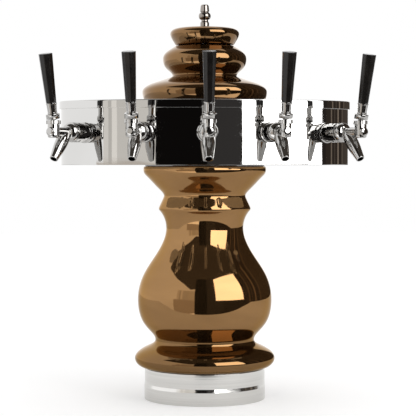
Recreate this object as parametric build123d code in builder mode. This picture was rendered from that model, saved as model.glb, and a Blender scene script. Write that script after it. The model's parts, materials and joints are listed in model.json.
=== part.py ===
"""Five-tap draught beer tower: glazed ceramic column, oval chrome header, tap bodies with levers.

Millimetres. +Z is up and -Y is the side that the taps face. The origin is the centre of the base
flange's underside, on the column's axis.
"""

from build123d import *

import os
from math import atan2, cos, degrees, hypot, radians, sin, tan

# ---------------------------------------------------------------- driving dimensions

# fits between pieces
slide_gap = 0.1  # between pieces that are pushed or screwed together
loose_gap = 0.5  # round a screw, rod or shank in its hole
moving_gap = 0.4  # between a moving piece and its housing
seal_thickness = 1.0

# base
ring_radius = 102.2
ring_height = 52.0
ring_wall = 2.5
ring_lip_width = 13.0
ring_lip_thickness = 3.0
ring_step = 0.8
ring_step_foot = 22.0
ring_step_height = 5.5
flange_thickness = 8.0
flange_radius = ring_radius - ring_wall - loose_gap
counter_bolt_inset = 19.2
counter_bolt_radius = 3.6
counter_bolt_count = 4
gasket_inset = 8.2
gasket_width = 6.0
gasket_depth = 2.0

# ceramic column: heights go up from its foot, drops go down from its top
column_height = 339.0
column_wall = 7.0
foot_edge_radius = ring_radius + 1.8
foot_radius = ring_radius + 16.4
foot_radius_height = 0.043 * column_height
ankle_radius = 82.8
ankle_height = 0.136 * column_height
belly_radius = 113.0
belly_height = 0.336 * column_height
waist_radius = 65.0
waist_drop = 0.307 * column_height
ridge_radius = 78.6
ridge_drop = 0.215 * column_height
throat_radius = 68.0
throat_drop = 0.1475 * column_height
crown_radius = 103.8
crown_roll = 1.5
crown_roll_drop = 9.0
crown_lip = 12.0

# steel column inside the ceramic one
inner_column_radius = 38.0
inner_column_wall = 2.5
inner_plate_radius = 54.0
inner_plate_thickness = 4.0
column_screw_ring_radius = (inner_column_radius + inner_plate_radius) / 2
column_screw_radius = 2.5
column_screw_head_radius = 4.4
column_screw_head_height = 3.0
column_screw_length = 11.0
column_screw_count = 4
insulation_thickness = 12.0

# oval header
header_half_width = 242.0
header_half_depth = 110.0
header_height = 106.5
sheet = 2.0
pan_rim_height = 12.0
lid_skirt = 13.5
lid_overhang = 3.0
lid_edge_round = 1.6
shank_height = 53.0

# shanks: "out" is the distance from the header's wall, and minus values lie inside the header
tap_count = 5
tap_pitch = 0.427 * header_half_width
shank_radius = 11.0
shank_bore_radius = 3.0
shank_thread_tail = 40.0
shank_tail = 58.0
shank_tail_radius = 7.0
tube_socket_depth = 12.0
escutcheon_radius = 18.5
escutcheon_thickness = 3.5
shank_collar_radius = 14.5
shank_collar_length = 12.0
shank_nose_radius = 13.0
shank_nose_length = 14.5
lock_nut_across_flats = 30.0
lock_nut_thickness = 8.0
lock_nut_stand_off = 1.0
coupling_radius = 16.2
coupling_lip = 2.4
spanner_hole_radius = 2.2
spanner_hole_depth = 1.8
spanner_hole_count = 6
washer_thickness = 1.5

# tap body
tail_flange_thickness = 2.5
tail_neck_radius = 10.5
chamber_radius = 7.6
valve_seat_out = 48.0
shoulder_radius = 15.8
shoulder_length = 5.0
dome_length = 8.0
barrel_radius = 7.7
barrel_bore_radius = 5.3
lever_out = 85.0
tower_radius = 9.5
tower_top = 16.4
tower_bottom = 10.0
tower_edge_round = 6.0
roundel_radius = 6.8
roundel_reach = 11.8
roundel_rim = 1.0
roundel_recess = 0.6
spout_lean = 38.0
spout_radius = 6.9
spout_swell_radius = 10.2
spout_swell_along = 0.22
spout_bore_radius = 5.4
spout_bore_depth = 40.0
spout_throat_radius = 4.0
spout_tip_drop = 43.5

# bonnet, lever and handle, with heights along the lever from its pivot
pivot_height = 15.0
ball_radius = 5.9
lever_neck_radius = 3.1
lever_finger_reach = 13.0
lever_finger_radius = 1.5
lever_finger_tip_radius = 2.0
lever_rest_lean = 11.0
lever_travel = 25.0
bonnet_radius = 11.6
bonnet_height = 6.0
bonnet_bevel = 0.8
bonnet_notch_radius = 1.6
bonnet_notch_count = 6
collar_radius = 11.0
collar_top = 13.7
collar_bevel = 1.0
ferrule_bottom_radius = 7.4
ferrule_top_radius = 8.2
ferrule_length = 17.6
ferrule_bead = 0.5
ferrule_bead_height = 2.0
lever_thread_length = 12.0
grip_stud_radius = 4.0
grip_stud_length = 14.0
grip_bottom_radius = 8.7
grip_top_radius = 11.6
grip_length = 78.5
grip_sides = 8
grip_edge_round = 1.2

# valve stem, with the tap closed
plug_radius = 6.9
plug_length = 5.0
stem_rod_radius = 2.1
stem_guide_radius = 4.9
stem_guide_length = 9.2
stem_slot_floor = 0.6

# tubes
tube_radius = 4.0
tube_wall = 1.0
bundle_radius = 22.0
bundle_step = 45.0
tube_end_height = 30.0
tube_bend_radius = 22.0
tube_lead = 22.0
coolant_radius = 4.5
coolant_top_above_floor = 62.0
coolant_half_angle = 30.0

# finial rod and the spider that holds it down
rod_radius = 4.0
rod_end = 3.0
rod_nut_across_flats = 13.0
rod_nut_thickness = 6.5
spider_thickness = 6.0
spider_hub_radius = 9.0
spider_spoke_width = 5.0
spider_spoke_angles = (90.0, 202.5, 337.5)

# ceramic caps and finial
cap_wall = 6.0
cap_foot_radius = 101.0
cap_brim_radius = 105.5
cap_brim_height = 17.0
cap_cone_radius = 84.6
cap_cone_height = 32.5
cap_neck_radius = 54.0
cap_neck_height = 42.8
cap_lobe_radius = 70.7
cap_lobe_height = 72.5
cap_height = 94.0
top_cap_foot_radius = 49.0
top_cap_lobe_radius = 58.5
top_cap_lobe_height = 20.7
top_cap_height = 30.2
finial_height = 38.5
finial_foot_radius = 8.5
finial_stem_radius = 6.2
finial_bead_radius = 10.2
finial_crown_radius = 7.9
finial_tip_radius = 6.7
finial_grip_depth = 20.0

# ---------------------------------------------------------------- levels and places

column_foot_z = ring_height + seal_thickness
column_top_z = column_foot_z + column_height
header_floor_z = column_top_z + seal_thickness
pan_top_z = header_floor_z + sheet
spider_top_z = pan_top_z + spider_thickness
lid_top_z = header_floor_z + header_height
shell_top_z = lid_top_z - sheet
shank_z = header_floor_z + shank_height
top_cap_z = lid_top_z + cap_height
finial_z = top_cap_z + top_cap_height

inner_column_bore = inner_column_radius - inner_column_wall
counter_bolt_ring_radius = flange_radius - counter_bolt_inset
gasket_radius = flange_radius - gasket_inset
foot_bore = ring_radius - ring_lip_width + ring_wall
crown_bore = crown_radius - crown_lip
spider_bore = bundle_radius + coolant_radius + slide_gap

coupling_start_out = escutcheon_thickness + shank_collar_length
nose_end_out = coupling_start_out + shank_nose_length
tail_out = nose_end_out + washer_thickness
coupling_lip_out = tail_out + tail_flange_thickness
coupling_end_out = coupling_lip_out + coupling_lip
shoulder_out = coupling_end_out + slide_gap
dome_out = shoulder_out + shoulder_length
barrel_out = dome_out + dome_length
spout_root_out = lever_out - spout_tip_drop * tan(radians(spout_lean))

rest_angle = radians(lever_rest_lean)
swing_angle = radians(lever_rest_lean + lever_travel)
finger_slot_half_width = lever_finger_tip_radius + moving_gap
finger_rest_out = lever_out - lever_finger_reach * sin(rest_angle)
stem_front_out = finger_rest_out + stem_guide_length / 2
stem_guide_out = finger_rest_out - stem_guide_length / 2
plug_front_out = valve_seat_out - slide_gap
plug_back_out = plug_front_out - plug_length
bonnet_foot = pivot_height - bonnet_height / 2
collar_dome_radius = hypot(bonnet_radius, bonnet_height / 2) + moving_gap
ball_socket_radius = ball_radius + moving_gap
grip_foot = collar_top + ferrule_length

upward = (Align.CENTER, Align.CENTER, Align.MIN)
downward = (Align.CENTER, Align.CENTER, Align.MAX)
facing_out = (90, 0, 0)  # turns a cylinder that points up so that it points out of the header
header_levels = Plane.XY.offset(header_floor_z)
tap_side = Plane((0, 0, 0), x_dir=(0, -1, 0), z_dir=(-1, 0, 0))  # sketches on it are (out, up)
out_axis = Axis((0, 0, 0), (0, -1, 0))


def rim_point(arc):
    """The header's outline, arc millimetres along from the front: x, y and the turn of its normal."""
    step = radians(0.02)
    angle, walked = 0.0, 0.0
    while walked < abs(arc):
        walked += step * hypot(header_half_width * cos(angle), header_half_depth * sin(angle))
        angle += step
    side = 1 if arc >= 0 else -1
    x, y = side * header_half_width * sin(angle), -header_half_depth * cos(angle)
    turn = atan2(x / header_half_width**2, -y / header_half_depth**2)
    return x, y, degrees(turn)


def tap_spot(number):
    """A tap's own frame: its origin on the header's wall and its -Y pointing straight out."""
    x, y, turn = rim_point((number - (tap_count + 1) / 2) * tap_pitch)
    return Location((x, y, shank_z), (0, 0, turn))


tap_numbers = range(1, tap_count + 1)
tap_spots = [tap_spot(number) for number in tap_numbers]
lever_seat = Location((0, -lever_out, pivot_height), (lever_rest_lean, 0, 0))


def keep(piece, label):
    """Labels a finished piece and writes it as the node of that name."""
    piece.label = label
    export_step(piece, f"parts/{label}.step")


def keep_at_taps(piece, label):
    """Writes a copy of one tap's piece at every tap, numbered from the left."""
    for number, spot in zip(tap_numbers, tap_spots):
        keep(spot * piece, f"{label}_{number}")


os.makedirs("parts", exist_ok=True)

# ---------------------------------------------------------------- base

with BuildPart() as base_flange:
    Cylinder(flange_radius, flange_thickness, align=upward)
    Cylinder(inner_column_bore, flange_thickness, align=upward, mode=Mode.SUBTRACT)
    with BuildSketch():
        Circle(gasket_radius)
        Circle(gasket_radius - gasket_width, mode=Mode.SUBTRACT)
    extrude(amount=gasket_depth, mode=Mode.SUBTRACT)
    with Locations((0, 0, flange_thickness)):
        with PolarLocations(counter_bolt_ring_radius, counter_bolt_count, start_angle=45):
            Hole(counter_bolt_radius)
        with PolarLocations(column_screw_ring_radius, column_screw_count):
            Hole(column_screw_radius)
keep(base_flange.part, "base_flange")

with BuildPart() as base_gasket:
    with BuildSketch():
        Circle(gasket_radius - slide_gap)
        Circle(gasket_radius - gasket_width + slide_gap, mode=Mode.SUBTRACT)
    extrude(amount=gasket_depth)
keep(base_gasket.part, "base_gasket")

with BuildPart() as base_ring:
    with BuildSketch(Plane.XZ):
        with BuildLine():
            Polyline(
                (ring_radius - ring_wall, 0),
                (ring_radius, 0),
                (ring_radius, ring_step_foot),
                (ring_radius - ring_step, ring_step_foot + ring_step_height),
                (ring_radius - ring_step, ring_height),
                (ring_radius - ring_lip_width, ring_height),
                (ring_radius - ring_lip_width, ring_height - ring_lip_thickness),
                (ring_radius - ring_wall, ring_height - ring_lip_thickness),
                close=True,
            )
        make_face()
    revolve(axis=Axis.Z)
keep(base_ring.part, "base_ring")

with BuildPart() as foot_seal:
    with BuildSketch(Plane.XY.offset(ring_height)):
        Circle(ring_radius - ring_wall)
        Circle(foot_bore, mode=Mode.SUBTRACT)
    extrude(amount=seal_thickness)
keep(foot_seal.part, "foot_seal")

# ---------------------------------------------------------------- ceramic column

with BuildPart() as ceramic_column:
    up, down = (0, 1), (0, -1)
    foot_z = column_foot_z + foot_radius_height
    ankle_z = column_foot_z + ankle_height
    belly_z = column_foot_z + belly_height
    waist_z = column_top_z - waist_drop
    throat_z = column_top_z - throat_drop
    foot, ankle, belly = (foot_radius, foot_z), (ankle_radius, ankle_z), (belly_radius, belly_z)
    waist, throat = (waist_radius, waist_z), (throat_radius, throat_z)
    ridge = (ridge_radius, column_top_z - ridge_drop)
    crown = (crown_radius, column_top_z - crown_roll_drop)
    crown_edge = (crown_radius - crown_roll, column_top_z)
    ankle_to_foot = foot_radius - ankle_radius
    ankle_to_belly = belly_radius - ankle_radius
    waist_to_belly = belly_radius - waist_radius
    throat_to_crown = crown_radius - throat_radius
    foot_rise, belly_rise, waist_rise = ankle_z - foot_z, belly_z - ankle_z, waist_z - belly_z
    foot_cove = (ankle_radius + 0.44 * ankle_to_foot, foot_z + 0.62 * foot_rise)
    inner_ankle = (ankle_radius - column_wall, ankle_z)
    inner_belly = (belly_radius - column_wall, belly_z)
    inner_waist = (waist_radius - column_wall, waist_z)
    inner_throat = (throat_radius - column_wall, throat_z)
    with BuildSketch(Plane.XZ):
        with BuildLine():
            Line((foot_bore, column_foot_z), (foot_edge_radius, column_foot_z))
            Spline((foot_edge_radius, column_foot_z), foot, tangents=[(1, 0.15), up])
            Spline(foot, foot_cove, tangents=[up, (-1, 0.5)])
            Spline(foot_cove, ankle, tangents=[(-1, 0.5), up])
            Spline(
                ankle,
                (ankle_radius + 0.2 * ankle_to_belly, ankle_z + 0.16 * belly_rise),
                (ankle_radius + 0.72 * ankle_to_belly, ankle_z + 0.44 * belly_rise),
                belly,
                tangents=[up, up],
            )
            Spline(
                belly,
                (waist_radius + 0.84 * waist_to_belly, belly_z + 0.31 * waist_rise),
                (waist_radius + 0.32 * waist_to_belly, belly_z + 0.65 * waist_rise),
                waist,
                tangents=[up, up],
            )
            Spline(waist, ridge, tangents=[up, (1, 0.9)])
            Line(ridge, throat)
            Spline(
                throat,
                (throat_radius + 0.305 * throat_to_crown, column_top_z - 0.75 * throat_drop),
                (throat_radius + 0.83 * throat_to_crown, column_top_z - 0.36 * throat_drop),
                crown,
                tangents=[(0.5, 1), up],
            )
            Spline(crown, crown_edge, tangents=[up, (-0.5, 1)])
            Line(crown_edge, (crown_bore, column_top_z))
            Spline((crown_bore, column_top_z), inner_throat, tangents=[down, (-0.1, -1)])
            Spline(inner_throat, inner_waist, tangents=[(-0.1, -1), down])
            Spline(inner_waist, inner_belly, tangents=[down, down])
            Spline(inner_belly, inner_ankle, tangents=[down, down])
            Spline(inner_ankle, (foot_bore, column_foot_z), tangents=[down, (0.2, -1)])
        make_face()
    revolve(axis=Axis.Z)
keep(ceramic_column.part, "ceramic_column")

with BuildPart() as crown_seal:
    with BuildSketch(Plane.XY.offset(column_top_z)):
        Circle(crown_radius - crown_roll - sheet)
        Circle(crown_bore + sheet, mode=Mode.SUBTRACT)
    extrude(amount=seal_thickness)
keep(crown_seal.part, "crown_seal")

# ---------------------------------------------------------------- steel column that carries the header

with BuildPart() as inner_column:
    column_run = header_floor_z - flange_thickness
    with BuildSketch(Plane.XY.offset(flange_thickness)):
        Circle(inner_column_radius)
    extrude(amount=column_run)
    for plate_z in (flange_thickness, header_floor_z - inner_plate_thickness):
        with BuildSketch(Plane.XY.offset(plate_z)):
            Circle(inner_plate_radius)
        extrude(amount=inner_plate_thickness)
    with BuildSketch(Plane.XY.offset(flange_thickness)):
        Circle(inner_column_bore)
        with PolarLocations(column_screw_ring_radius, column_screw_count):
            Circle(column_screw_radius)
    extrude(amount=column_run, mode=Mode.SUBTRACT)
keep(inner_column.part, "inner_column")

with BuildPart() as insulation_sleeve:
    sleeve_foot_z = flange_thickness + inner_plate_thickness + column_screw_head_height + loose_gap
    sleeve_top_z = header_floor_z - inner_plate_thickness - column_screw_length
    with BuildSketch(Plane.XY.offset(sleeve_foot_z)):
        Circle(inner_column_radius + slide_gap + insulation_thickness)
        Circle(inner_column_radius + slide_gap, mode=Mode.SUBTRACT)
    extrude(amount=sleeve_top_z - sleeve_foot_z)
keep(insulation_sleeve.part, "insulation_sleeve")

with BuildPart() as column_screw:
    Cylinder(column_screw_head_radius, column_screw_head_height, align=upward)
    Cylinder(column_screw_radius - slide_gap, column_screw_length, align=downward)

with BuildPart() as column_screws:
    for seat_z in (flange_thickness + inner_plate_thickness, spider_top_z):
        with Locations((0, 0, seat_z)):
            with PolarLocations(column_screw_ring_radius, column_screw_count):
                add(column_screw.part)
keep(column_screws.part, "column_screws")

# ---------------------------------------------------------------- oval header


def header_oval(inset, mode=Mode.ADD):
    """The header's outline in plan, drawn inset inside its outer face."""
    return Ellipse(header_half_width - inset, header_half_depth - inset, mode=mode)


with BuildPart() as header_pan:
    pan_inset = sheet + slide_gap
    with BuildSketch(header_levels):
        header_oval(pan_inset)
        Circle(inner_column_bore, mode=Mode.SUBTRACT)
        with PolarLocations(column_screw_ring_radius, column_screw_count):
            Circle(column_screw_radius, mode=Mode.SUBTRACT)
    extrude(amount=sheet)
    with BuildSketch(header_levels):
        header_oval(pan_inset)
        header_oval(pan_inset + sheet, mode=Mode.SUBTRACT)
    extrude(amount=pan_rim_height)
keep(header_pan.part, "header_pan")

with BuildPart() as header_shell:
    with BuildSketch(header_levels):
        header_oval(0)
        header_oval(sheet, mode=Mode.SUBTRACT)
    extrude(amount=shell_top_z - header_floor_z)
    with Locations(*tap_spots):
        Cylinder(shank_radius + loose_gap, 8 * sheet, rotation=facing_out, mode=Mode.SUBTRACT)
keep(header_shell.part, "header_shell")

with BuildPart() as header_lid:
    with BuildSketch(Plane.XY.offset(lid_top_z - lid_skirt)):
        header_oval(-lid_overhang)
    extrude(amount=lid_skirt)
    fillet(header_lid.edges().group_by(Axis.Z)[-1], lid_edge_round)
    with BuildSketch(Plane.XY.offset(lid_top_z - lid_skirt)):
        header_oval(-slide_gap)
    extrude(amount=lid_skirt - sheet, mode=Mode.SUBTRACT)
    with BuildSketch(Plane.XY.offset(shell_top_z)):
        Circle(rod_radius + loose_gap)
    extrude(amount=sheet, mode=Mode.SUBTRACT)
keep(header_lid.part, "header_lid")

# ---------------------------------------------------------------- shanks and what clamps them

with BuildPart() as shank:
    with BuildSketch(tap_side):
        with BuildLine():
            Polyline(
                (-shank_tail, 0),
                (-shank_tail, shank_tail_radius),
                (-shank_thread_tail, shank_tail_radius),
                (-shank_thread_tail, shank_radius),
                (escutcheon_thickness, shank_radius),
                (escutcheon_thickness, shank_collar_radius),
                (coupling_start_out, shank_collar_radius),
                (coupling_start_out, shank_nose_radius),
                (nose_end_out, shank_nose_radius),
                (nose_end_out, 0),
                close=True,
            )
        make_face()
    revolve(axis=out_axis)
    with BuildSketch(Plane.XZ.offset(-shank_tail)):
        Circle(tube_radius + slide_gap)
    extrude(amount=tube_socket_depth, mode=Mode.SUBTRACT)
    with BuildSketch(Plane.XZ.offset(-shank_tail)):
        Circle(shank_bore_radius)
    extrude(amount=shank_tail + nose_end_out, mode=Mode.SUBTRACT)
keep_at_taps(shank.part, "shank")

with BuildPart() as escutcheons:
    with Locations(*[spot * Location((0, escutcheon_thickness, 0)) for spot in tap_spots]):
        Cylinder(escutcheon_radius, 2 * escutcheon_thickness, rotation=facing_out, align=upward)
        Cylinder(
            shank_radius + slide_gap,
            2 * escutcheon_thickness,
            rotation=facing_out,
            align=upward,
            mode=Mode.SUBTRACT,
        )
    with BuildSketch(header_levels):
        header_oval(-slide_gap)
    extrude(amount=header_height, mode=Mode.SUBTRACT)
keep(escutcheons.part, "escutcheons")

with BuildPart() as lock_nut:
    with BuildSketch(Plane.XZ.offset(-sheet - lock_nut_stand_off - lock_nut_thickness)):
        RegularPolygon(lock_nut_across_flats / 2, 6, major_radius=False)
        Circle(shank_radius + slide_gap, mode=Mode.SUBTRACT)
    extrude(amount=lock_nut_thickness)

with BuildPart() as lock_nuts:
    with Locations(*tap_spots):
        add(lock_nut.part)
keep(lock_nuts.part, "lock_nuts")

with BuildPart() as coupling_nut:
    with BuildSketch(tap_side):
        with BuildLine():
            Polyline(
                (coupling_start_out + slide_gap, shank_nose_radius + slide_gap),
                (coupling_start_out + slide_gap, coupling_radius),
                (coupling_end_out, coupling_radius),
                (coupling_end_out, tail_neck_radius + slide_gap),
                (coupling_lip_out, tail_neck_radius + slide_gap),
                (coupling_lip_out, shank_nose_radius + slide_gap),
                close=True,
            )
        make_face()
    revolve(axis=out_axis)
    with Locations(Location((0, -(coupling_start_out + coupling_end_out) / 2, 0), facing_out)):
        with PolarLocations(coupling_radius - spanner_hole_depth, spanner_hole_count, start_angle=90):
            Cylinder(
                spanner_hole_radius, coupling_radius, rotation=(0, 90, 0), align=upward, mode=Mode.SUBTRACT
            )

with BuildPart() as coupling_nuts:
    with Locations(*tap_spots):
        add(coupling_nut.part)
keep(coupling_nuts.part, "coupling_nuts")

with BuildPart() as coupling_washer:
    with BuildSketch(Plane.XZ.offset(nose_end_out)):
        Circle(shank_nose_radius)
        Circle(chamber_radius, mode=Mode.SUBTRACT)
    extrude(amount=washer_thickness)

with BuildPart() as coupling_washers:
    with Locations(*tap_spots):
        add(coupling_washer.part)
keep(coupling_washers.part, "coupling_washers")

# ---------------------------------------------------------------- tap bodies

with BuildPart() as tap_body:
    # tower that the lever's ball sits in, and the round boss on its front
    with Locations((0, -lever_out, -tower_bottom)):
        Cylinder(tower_radius, tower_bottom + tower_top, align=upward)
    fillet(tap_body.edges().sort_by(Axis.Z)[0], tower_edge_round)
    with BuildSketch(Plane.XZ.offset(lever_out)):
        Circle(roundel_radius)
    extrude(amount=roundel_reach)
    with BuildSketch(Plane.XZ.offset(lever_out + roundel_reach - roundel_recess)):
        Circle(roundel_radius - roundel_rim)
    extrude(amount=roundel_recess, mode=Mode.SUBTRACT)

    # barrel, from the tail that the coupling nut pulls in to the tower
    with BuildSketch(tap_side):
        with BuildLine():
            Polyline(
                (tail_out, 0),
                (tail_out, shank_nose_radius),
                (coupling_lip_out, shank_nose_radius),
                (coupling_lip_out, tail_neck_radius),
                (shoulder_out, tail_neck_radius),
                (shoulder_out, shoulder_radius),
                (dome_out, shoulder_radius),
            )
            Spline(
                (dome_out, shoulder_radius), (barrel_out, barrel_radius), tangents=[(1, -0.1), (0.2, -1)]
            )
            Polyline((barrel_out, barrel_radius), (lever_out, barrel_radius), (lever_out, 0), (tail_out, 0))
        make_face()
    revolve(axis=out_axis)

    # spout
    lean = radians(spout_lean)
    spout_length = spout_tip_drop / cos(lean)
    spout_root = Plane((0, -spout_root_out, 0), x_dir=(1, 0, 0), z_dir=(0, -sin(lean), -cos(lean)))
    for along, radius in (
        (0, barrel_radius - slide_gap),
        (spout_swell_along * spout_length, spout_swell_radius),
        (spout_length, spout_radius),
    ):
        with BuildSketch(spout_root.offset(along)):
            Circle(radius)
    loft()
    with BuildSketch(spout_root):
        Circle(spout_throat_radius)
    extrude(amount=spout_length, mode=Mode.SUBTRACT)
    with BuildSketch(spout_root.offset(spout_length)):
        Circle(spout_bore_radius)
    extrude(amount=-spout_bore_depth, mode=Mode.SUBTRACT)

    # chamber behind the valve seat, then the bore that guides the stem
    with BuildSketch(Plane.XZ.offset(tail_out)):
        Circle(chamber_radius)
    extrude(amount=valve_seat_out - tail_out, mode=Mode.SUBTRACT)
    with BuildSketch(Plane.XZ.offset(valve_seat_out)):
        Circle(barrel_bore_radius)
    extrude(amount=stem_front_out + moving_gap - valve_seat_out, mode=Mode.SUBTRACT)

    # socket for the ball, and the slot that its finger swings in
    with Locations((0, -lever_out, pivot_height)):
        Sphere(ball_socket_radius, mode=Mode.SUBTRACT)
        Cylinder(ball_socket_radius, tower_top - pivot_height, align=upward, mode=Mode.SUBTRACT)
    finger_side = finger_slot_half_width / cos(swing_angle)
    finger_end = lever_finger_reach * sin(swing_angle) + finger_slot_half_width
    finger_end_up = pivot_height - (finger_end - finger_side) / tan(swing_angle)
    with BuildSketch(tap_side):
        with BuildLine():
            Polyline(
                (lever_out + lever_finger_radius, 0),
                (lever_out + lever_finger_radius, pivot_height),
                (lever_out - finger_side, pivot_height),
                (lever_out - finger_end, finger_end_up),
                (lever_out - finger_end, 0),
                close=True,
            )
        make_face()
    extrude(amount=finger_slot_half_width, both=True, mode=Mode.SUBTRACT)
keep_at_taps(tap_body.part, "tap_body")

with BuildPart() as bonnet:
    with Locations((0, -lever_out, bonnet_foot)):
        Cylinder(bonnet_radius, bonnet_height, align=upward)
        chamfer(bonnet.edges().group_by(Axis.Z)[-1], bonnet_bevel)
        Cylinder(tower_radius + slide_gap, tower_top - bonnet_foot, align=upward, mode=Mode.SUBTRACT)
        with PolarLocations(bonnet_radius, bonnet_notch_count):
            Cylinder(bonnet_notch_radius, bonnet_height, align=upward, mode=Mode.SUBTRACT)
    with Locations((0, -lever_out, pivot_height)):
        Sphere(ball_socket_radius, mode=Mode.SUBTRACT)
    neck_half_width = lever_neck_radius + moving_gap
    neck_reach = bonnet_height / 2 * tan(swing_angle) + neck_half_width / cos(swing_angle)
    with BuildSketch(Plane.XY.offset(tower_top)):
        with Locations((0, -lever_out)):
            Rectangle(2 * neck_half_width, neck_reach, align=(Align.CENTER, Align.MAX))
    extrude(amount=bonnet_height, mode=Mode.SUBTRACT)

with BuildPart() as bonnets:
    with Locations(*tap_spots):
        add(bonnet.part)
keep(bonnets.part, "bonnets")

# ---------------------------------------------------------------- levers, handles and valve stems

with BuildPart() as lever:
    Cylinder(collar_radius, collar_top, align=upward)
    chamfer(lever.edges().group_by(Axis.Z)[-1], collar_bevel)
    Sphere(collar_dome_radius, mode=Mode.SUBTRACT)
    Sphere(ball_radius)
    Cylinder(lever_neck_radius, collar_top + lever_thread_length, align=upward)
    Cylinder(lever_finger_radius, lever_finger_reach, align=downward)
    with Locations((0, 0, -lever_finger_reach)):
        Sphere(lever_finger_tip_radius)
keep_at_taps(lever_seat * lever.part, "lever")

with BuildPart() as ferrule:
    with Locations((0, 0, collar_top)):
        Cone(ferrule_bottom_radius, ferrule_top_radius, ferrule_length, align=upward)
        Cylinder(ferrule_bottom_radius + ferrule_bead, ferrule_bead_height, align=upward)
        Cylinder(
            lever_neck_radius + slide_gap, lever_thread_length + slide_gap, align=upward, mode=Mode.SUBTRACT
        )
    with Locations((0, 0, grip_foot)):
        Cylinder(ferrule_top_radius + ferrule_bead, ferrule_bead_height, align=downward)
        Cylinder(grip_stud_radius, grip_stud_length, align=upward)
keep_at_taps(lever_seat * ferrule.part, "ferrule")

with BuildPart() as grip:
    for height, radius in ((grip_foot, grip_bottom_radius), (grip_foot + grip_length, grip_top_radius)):
        with BuildSketch(Plane.XY.offset(height)) as grip_section:
            RegularPolygon(radius, grip_sides, rotation=180 / grip_sides)
            fillet(grip_section.vertices(), grip_edge_round)
    loft()
    chamfer(grip.edges().group_by(Axis.Z)[-1], grip_edge_round / 2)
    with BuildSketch(Plane.XY.offset(grip_foot)):
        Circle(grip_stud_radius + slide_gap)
    extrude(amount=grip_stud_length + slide_gap, mode=Mode.SUBTRACT)
keep_at_taps(lever_seat * grip.part, "grip")

with BuildPart() as valve_stem:
    with BuildSketch(tap_side):
        with BuildLine():
            Polyline(
                (plug_back_out, 0),
                (plug_back_out, plug_radius),
                (plug_front_out, plug_radius),
                (plug_front_out, stem_rod_radius),
                (stem_guide_out, stem_rod_radius),
                (stem_guide_out, stem_guide_radius),
                (stem_front_out, stem_guide_radius),
                (stem_front_out, 0),
                close=True,
            )
        make_face()
    revolve(axis=out_axis)
    with BuildSketch(tap_side):
        with Locations((finger_rest_out, -stem_slot_floor)):
            Rectangle(
                2 * (finger_slot_half_width + slide_gap),
                2 * stem_guide_radius,
                align=(Align.CENTER, Align.MIN),
            )
    extrude(amount=stem_guide_radius, both=True, mode=Mode.SUBTRACT)
keep_at_taps(valve_stem.part, "valve_stem")

# ---------------------------------------------------------------- tubes


def bundle_point(angle, height):
    """A point on the bundle of tubes inside the steel column, at an angle round its axis."""
    turn = radians(angle)
    return (bundle_radius * cos(turn), bundle_radius * sin(turn), height)


def beer_route(number, spot):
    """A beer line's centre line: up the column, across the header and into its shank's socket."""
    angle = (number - (tap_count + 1) / 2) * bundle_step - 90
    foot, bend = bundle_point(angle, tube_end_height), bundle_point(angle, shank_z)
    lead = (spot * Location((0, shank_tail + tube_lead, 0))).position
    end = (spot * Location((0, shank_tail - tube_socket_depth, 0))).position
    corners = [bend, lead] if (lead - Vector(bend)).length > 2 * tube_bend_radius else [bend]
    with BuildLine() as route:
        FilletPolyline(foot, *corners, end, radius=tube_bend_radius)
    return route.line


beer_routes = [beer_route(number, spot) for number, spot in zip(tap_numbers, tap_spots)]

with BuildPart() as beer_lines:
    for route in beer_routes:
        with BuildSketch(Plane(route @ 0, z_dir=route % 0)):
            Circle(tube_radius)
            Circle(tube_radius - tube_wall, mode=Mode.SUBTRACT)
        sweep(path=route)
keep(beer_lines.part, "beer_lines")

with BuildLine() as coolant_route:
    coolant_top_z = header_floor_z + coolant_top_above_floor
    flow_angle, return_angle = 90 - coolant_half_angle, 90 + coolant_half_angle
    FilletPolyline(
        bundle_point(flow_angle, tube_end_height),
        bundle_point(flow_angle, coolant_top_z),
        bundle_point(return_angle, coolant_top_z),
        bundle_point(return_angle, tube_end_height),
        radius=bundle_radius * sin(radians(coolant_half_angle)) - slide_gap,
    )

with BuildPart() as coolant_loop:
    with BuildSketch(Plane(coolant_route.line @ 0, z_dir=coolant_route.line % 0)):
        Circle(coolant_radius)
        Circle(coolant_radius - tube_wall, mode=Mode.SUBTRACT)
    sweep(path=coolant_route.line)
keep(coolant_loop.part, "coolant_loop")

# ---------------------------------------------------------------- finial rod and its spider

with BuildPart() as rod_spider:
    with BuildSketch(Plane.XY.offset(pan_top_z)):
        Circle(inner_plate_radius)
        Circle(spider_bore, mode=Mode.SUBTRACT)
        Circle(spider_hub_radius)
        for angle in spider_spoke_angles:
            with Locations(Location((0, 0, 0), (0, 0, angle))):
                Rectangle(
                    spider_bore + spider_spoke_width,
                    spider_spoke_width,
                    align=(Align.MIN, Align.CENTER),
                )
        Circle(rod_radius + slide_gap, mode=Mode.SUBTRACT)
        with PolarLocations(column_screw_ring_radius, column_screw_count):
            Circle(column_screw_radius, mode=Mode.SUBTRACT)
    extrude(amount=spider_thickness)
keep(rod_spider.part, "rod_spider")

with BuildPart() as rod_nuts:
    for nut_z in (pan_top_z - rod_nut_thickness, spider_top_z):
        with BuildSketch(Plane.XY.offset(nut_z)):
            RegularPolygon(rod_nut_across_flats / 2, 6, major_radius=False)
            Circle(rod_radius + slide_gap, mode=Mode.SUBTRACT)
        extrude(amount=rod_nut_thickness)
keep(rod_nuts.part, "rod_nuts")

with BuildPart() as finial_rod:
    rod_foot_z = pan_top_z - rod_nut_thickness - rod_end
    with BuildSketch(Plane.XY.offset(rod_foot_z)):
        Circle(rod_radius)
    extrude(amount=finial_z + finial_grip_depth - loose_gap - rod_foot_z)
keep(finial_rod.part, "finial_rod")

# ---------------------------------------------------------------- ceramic caps and finial

rod_hole = rod_radius + loose_gap

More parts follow.
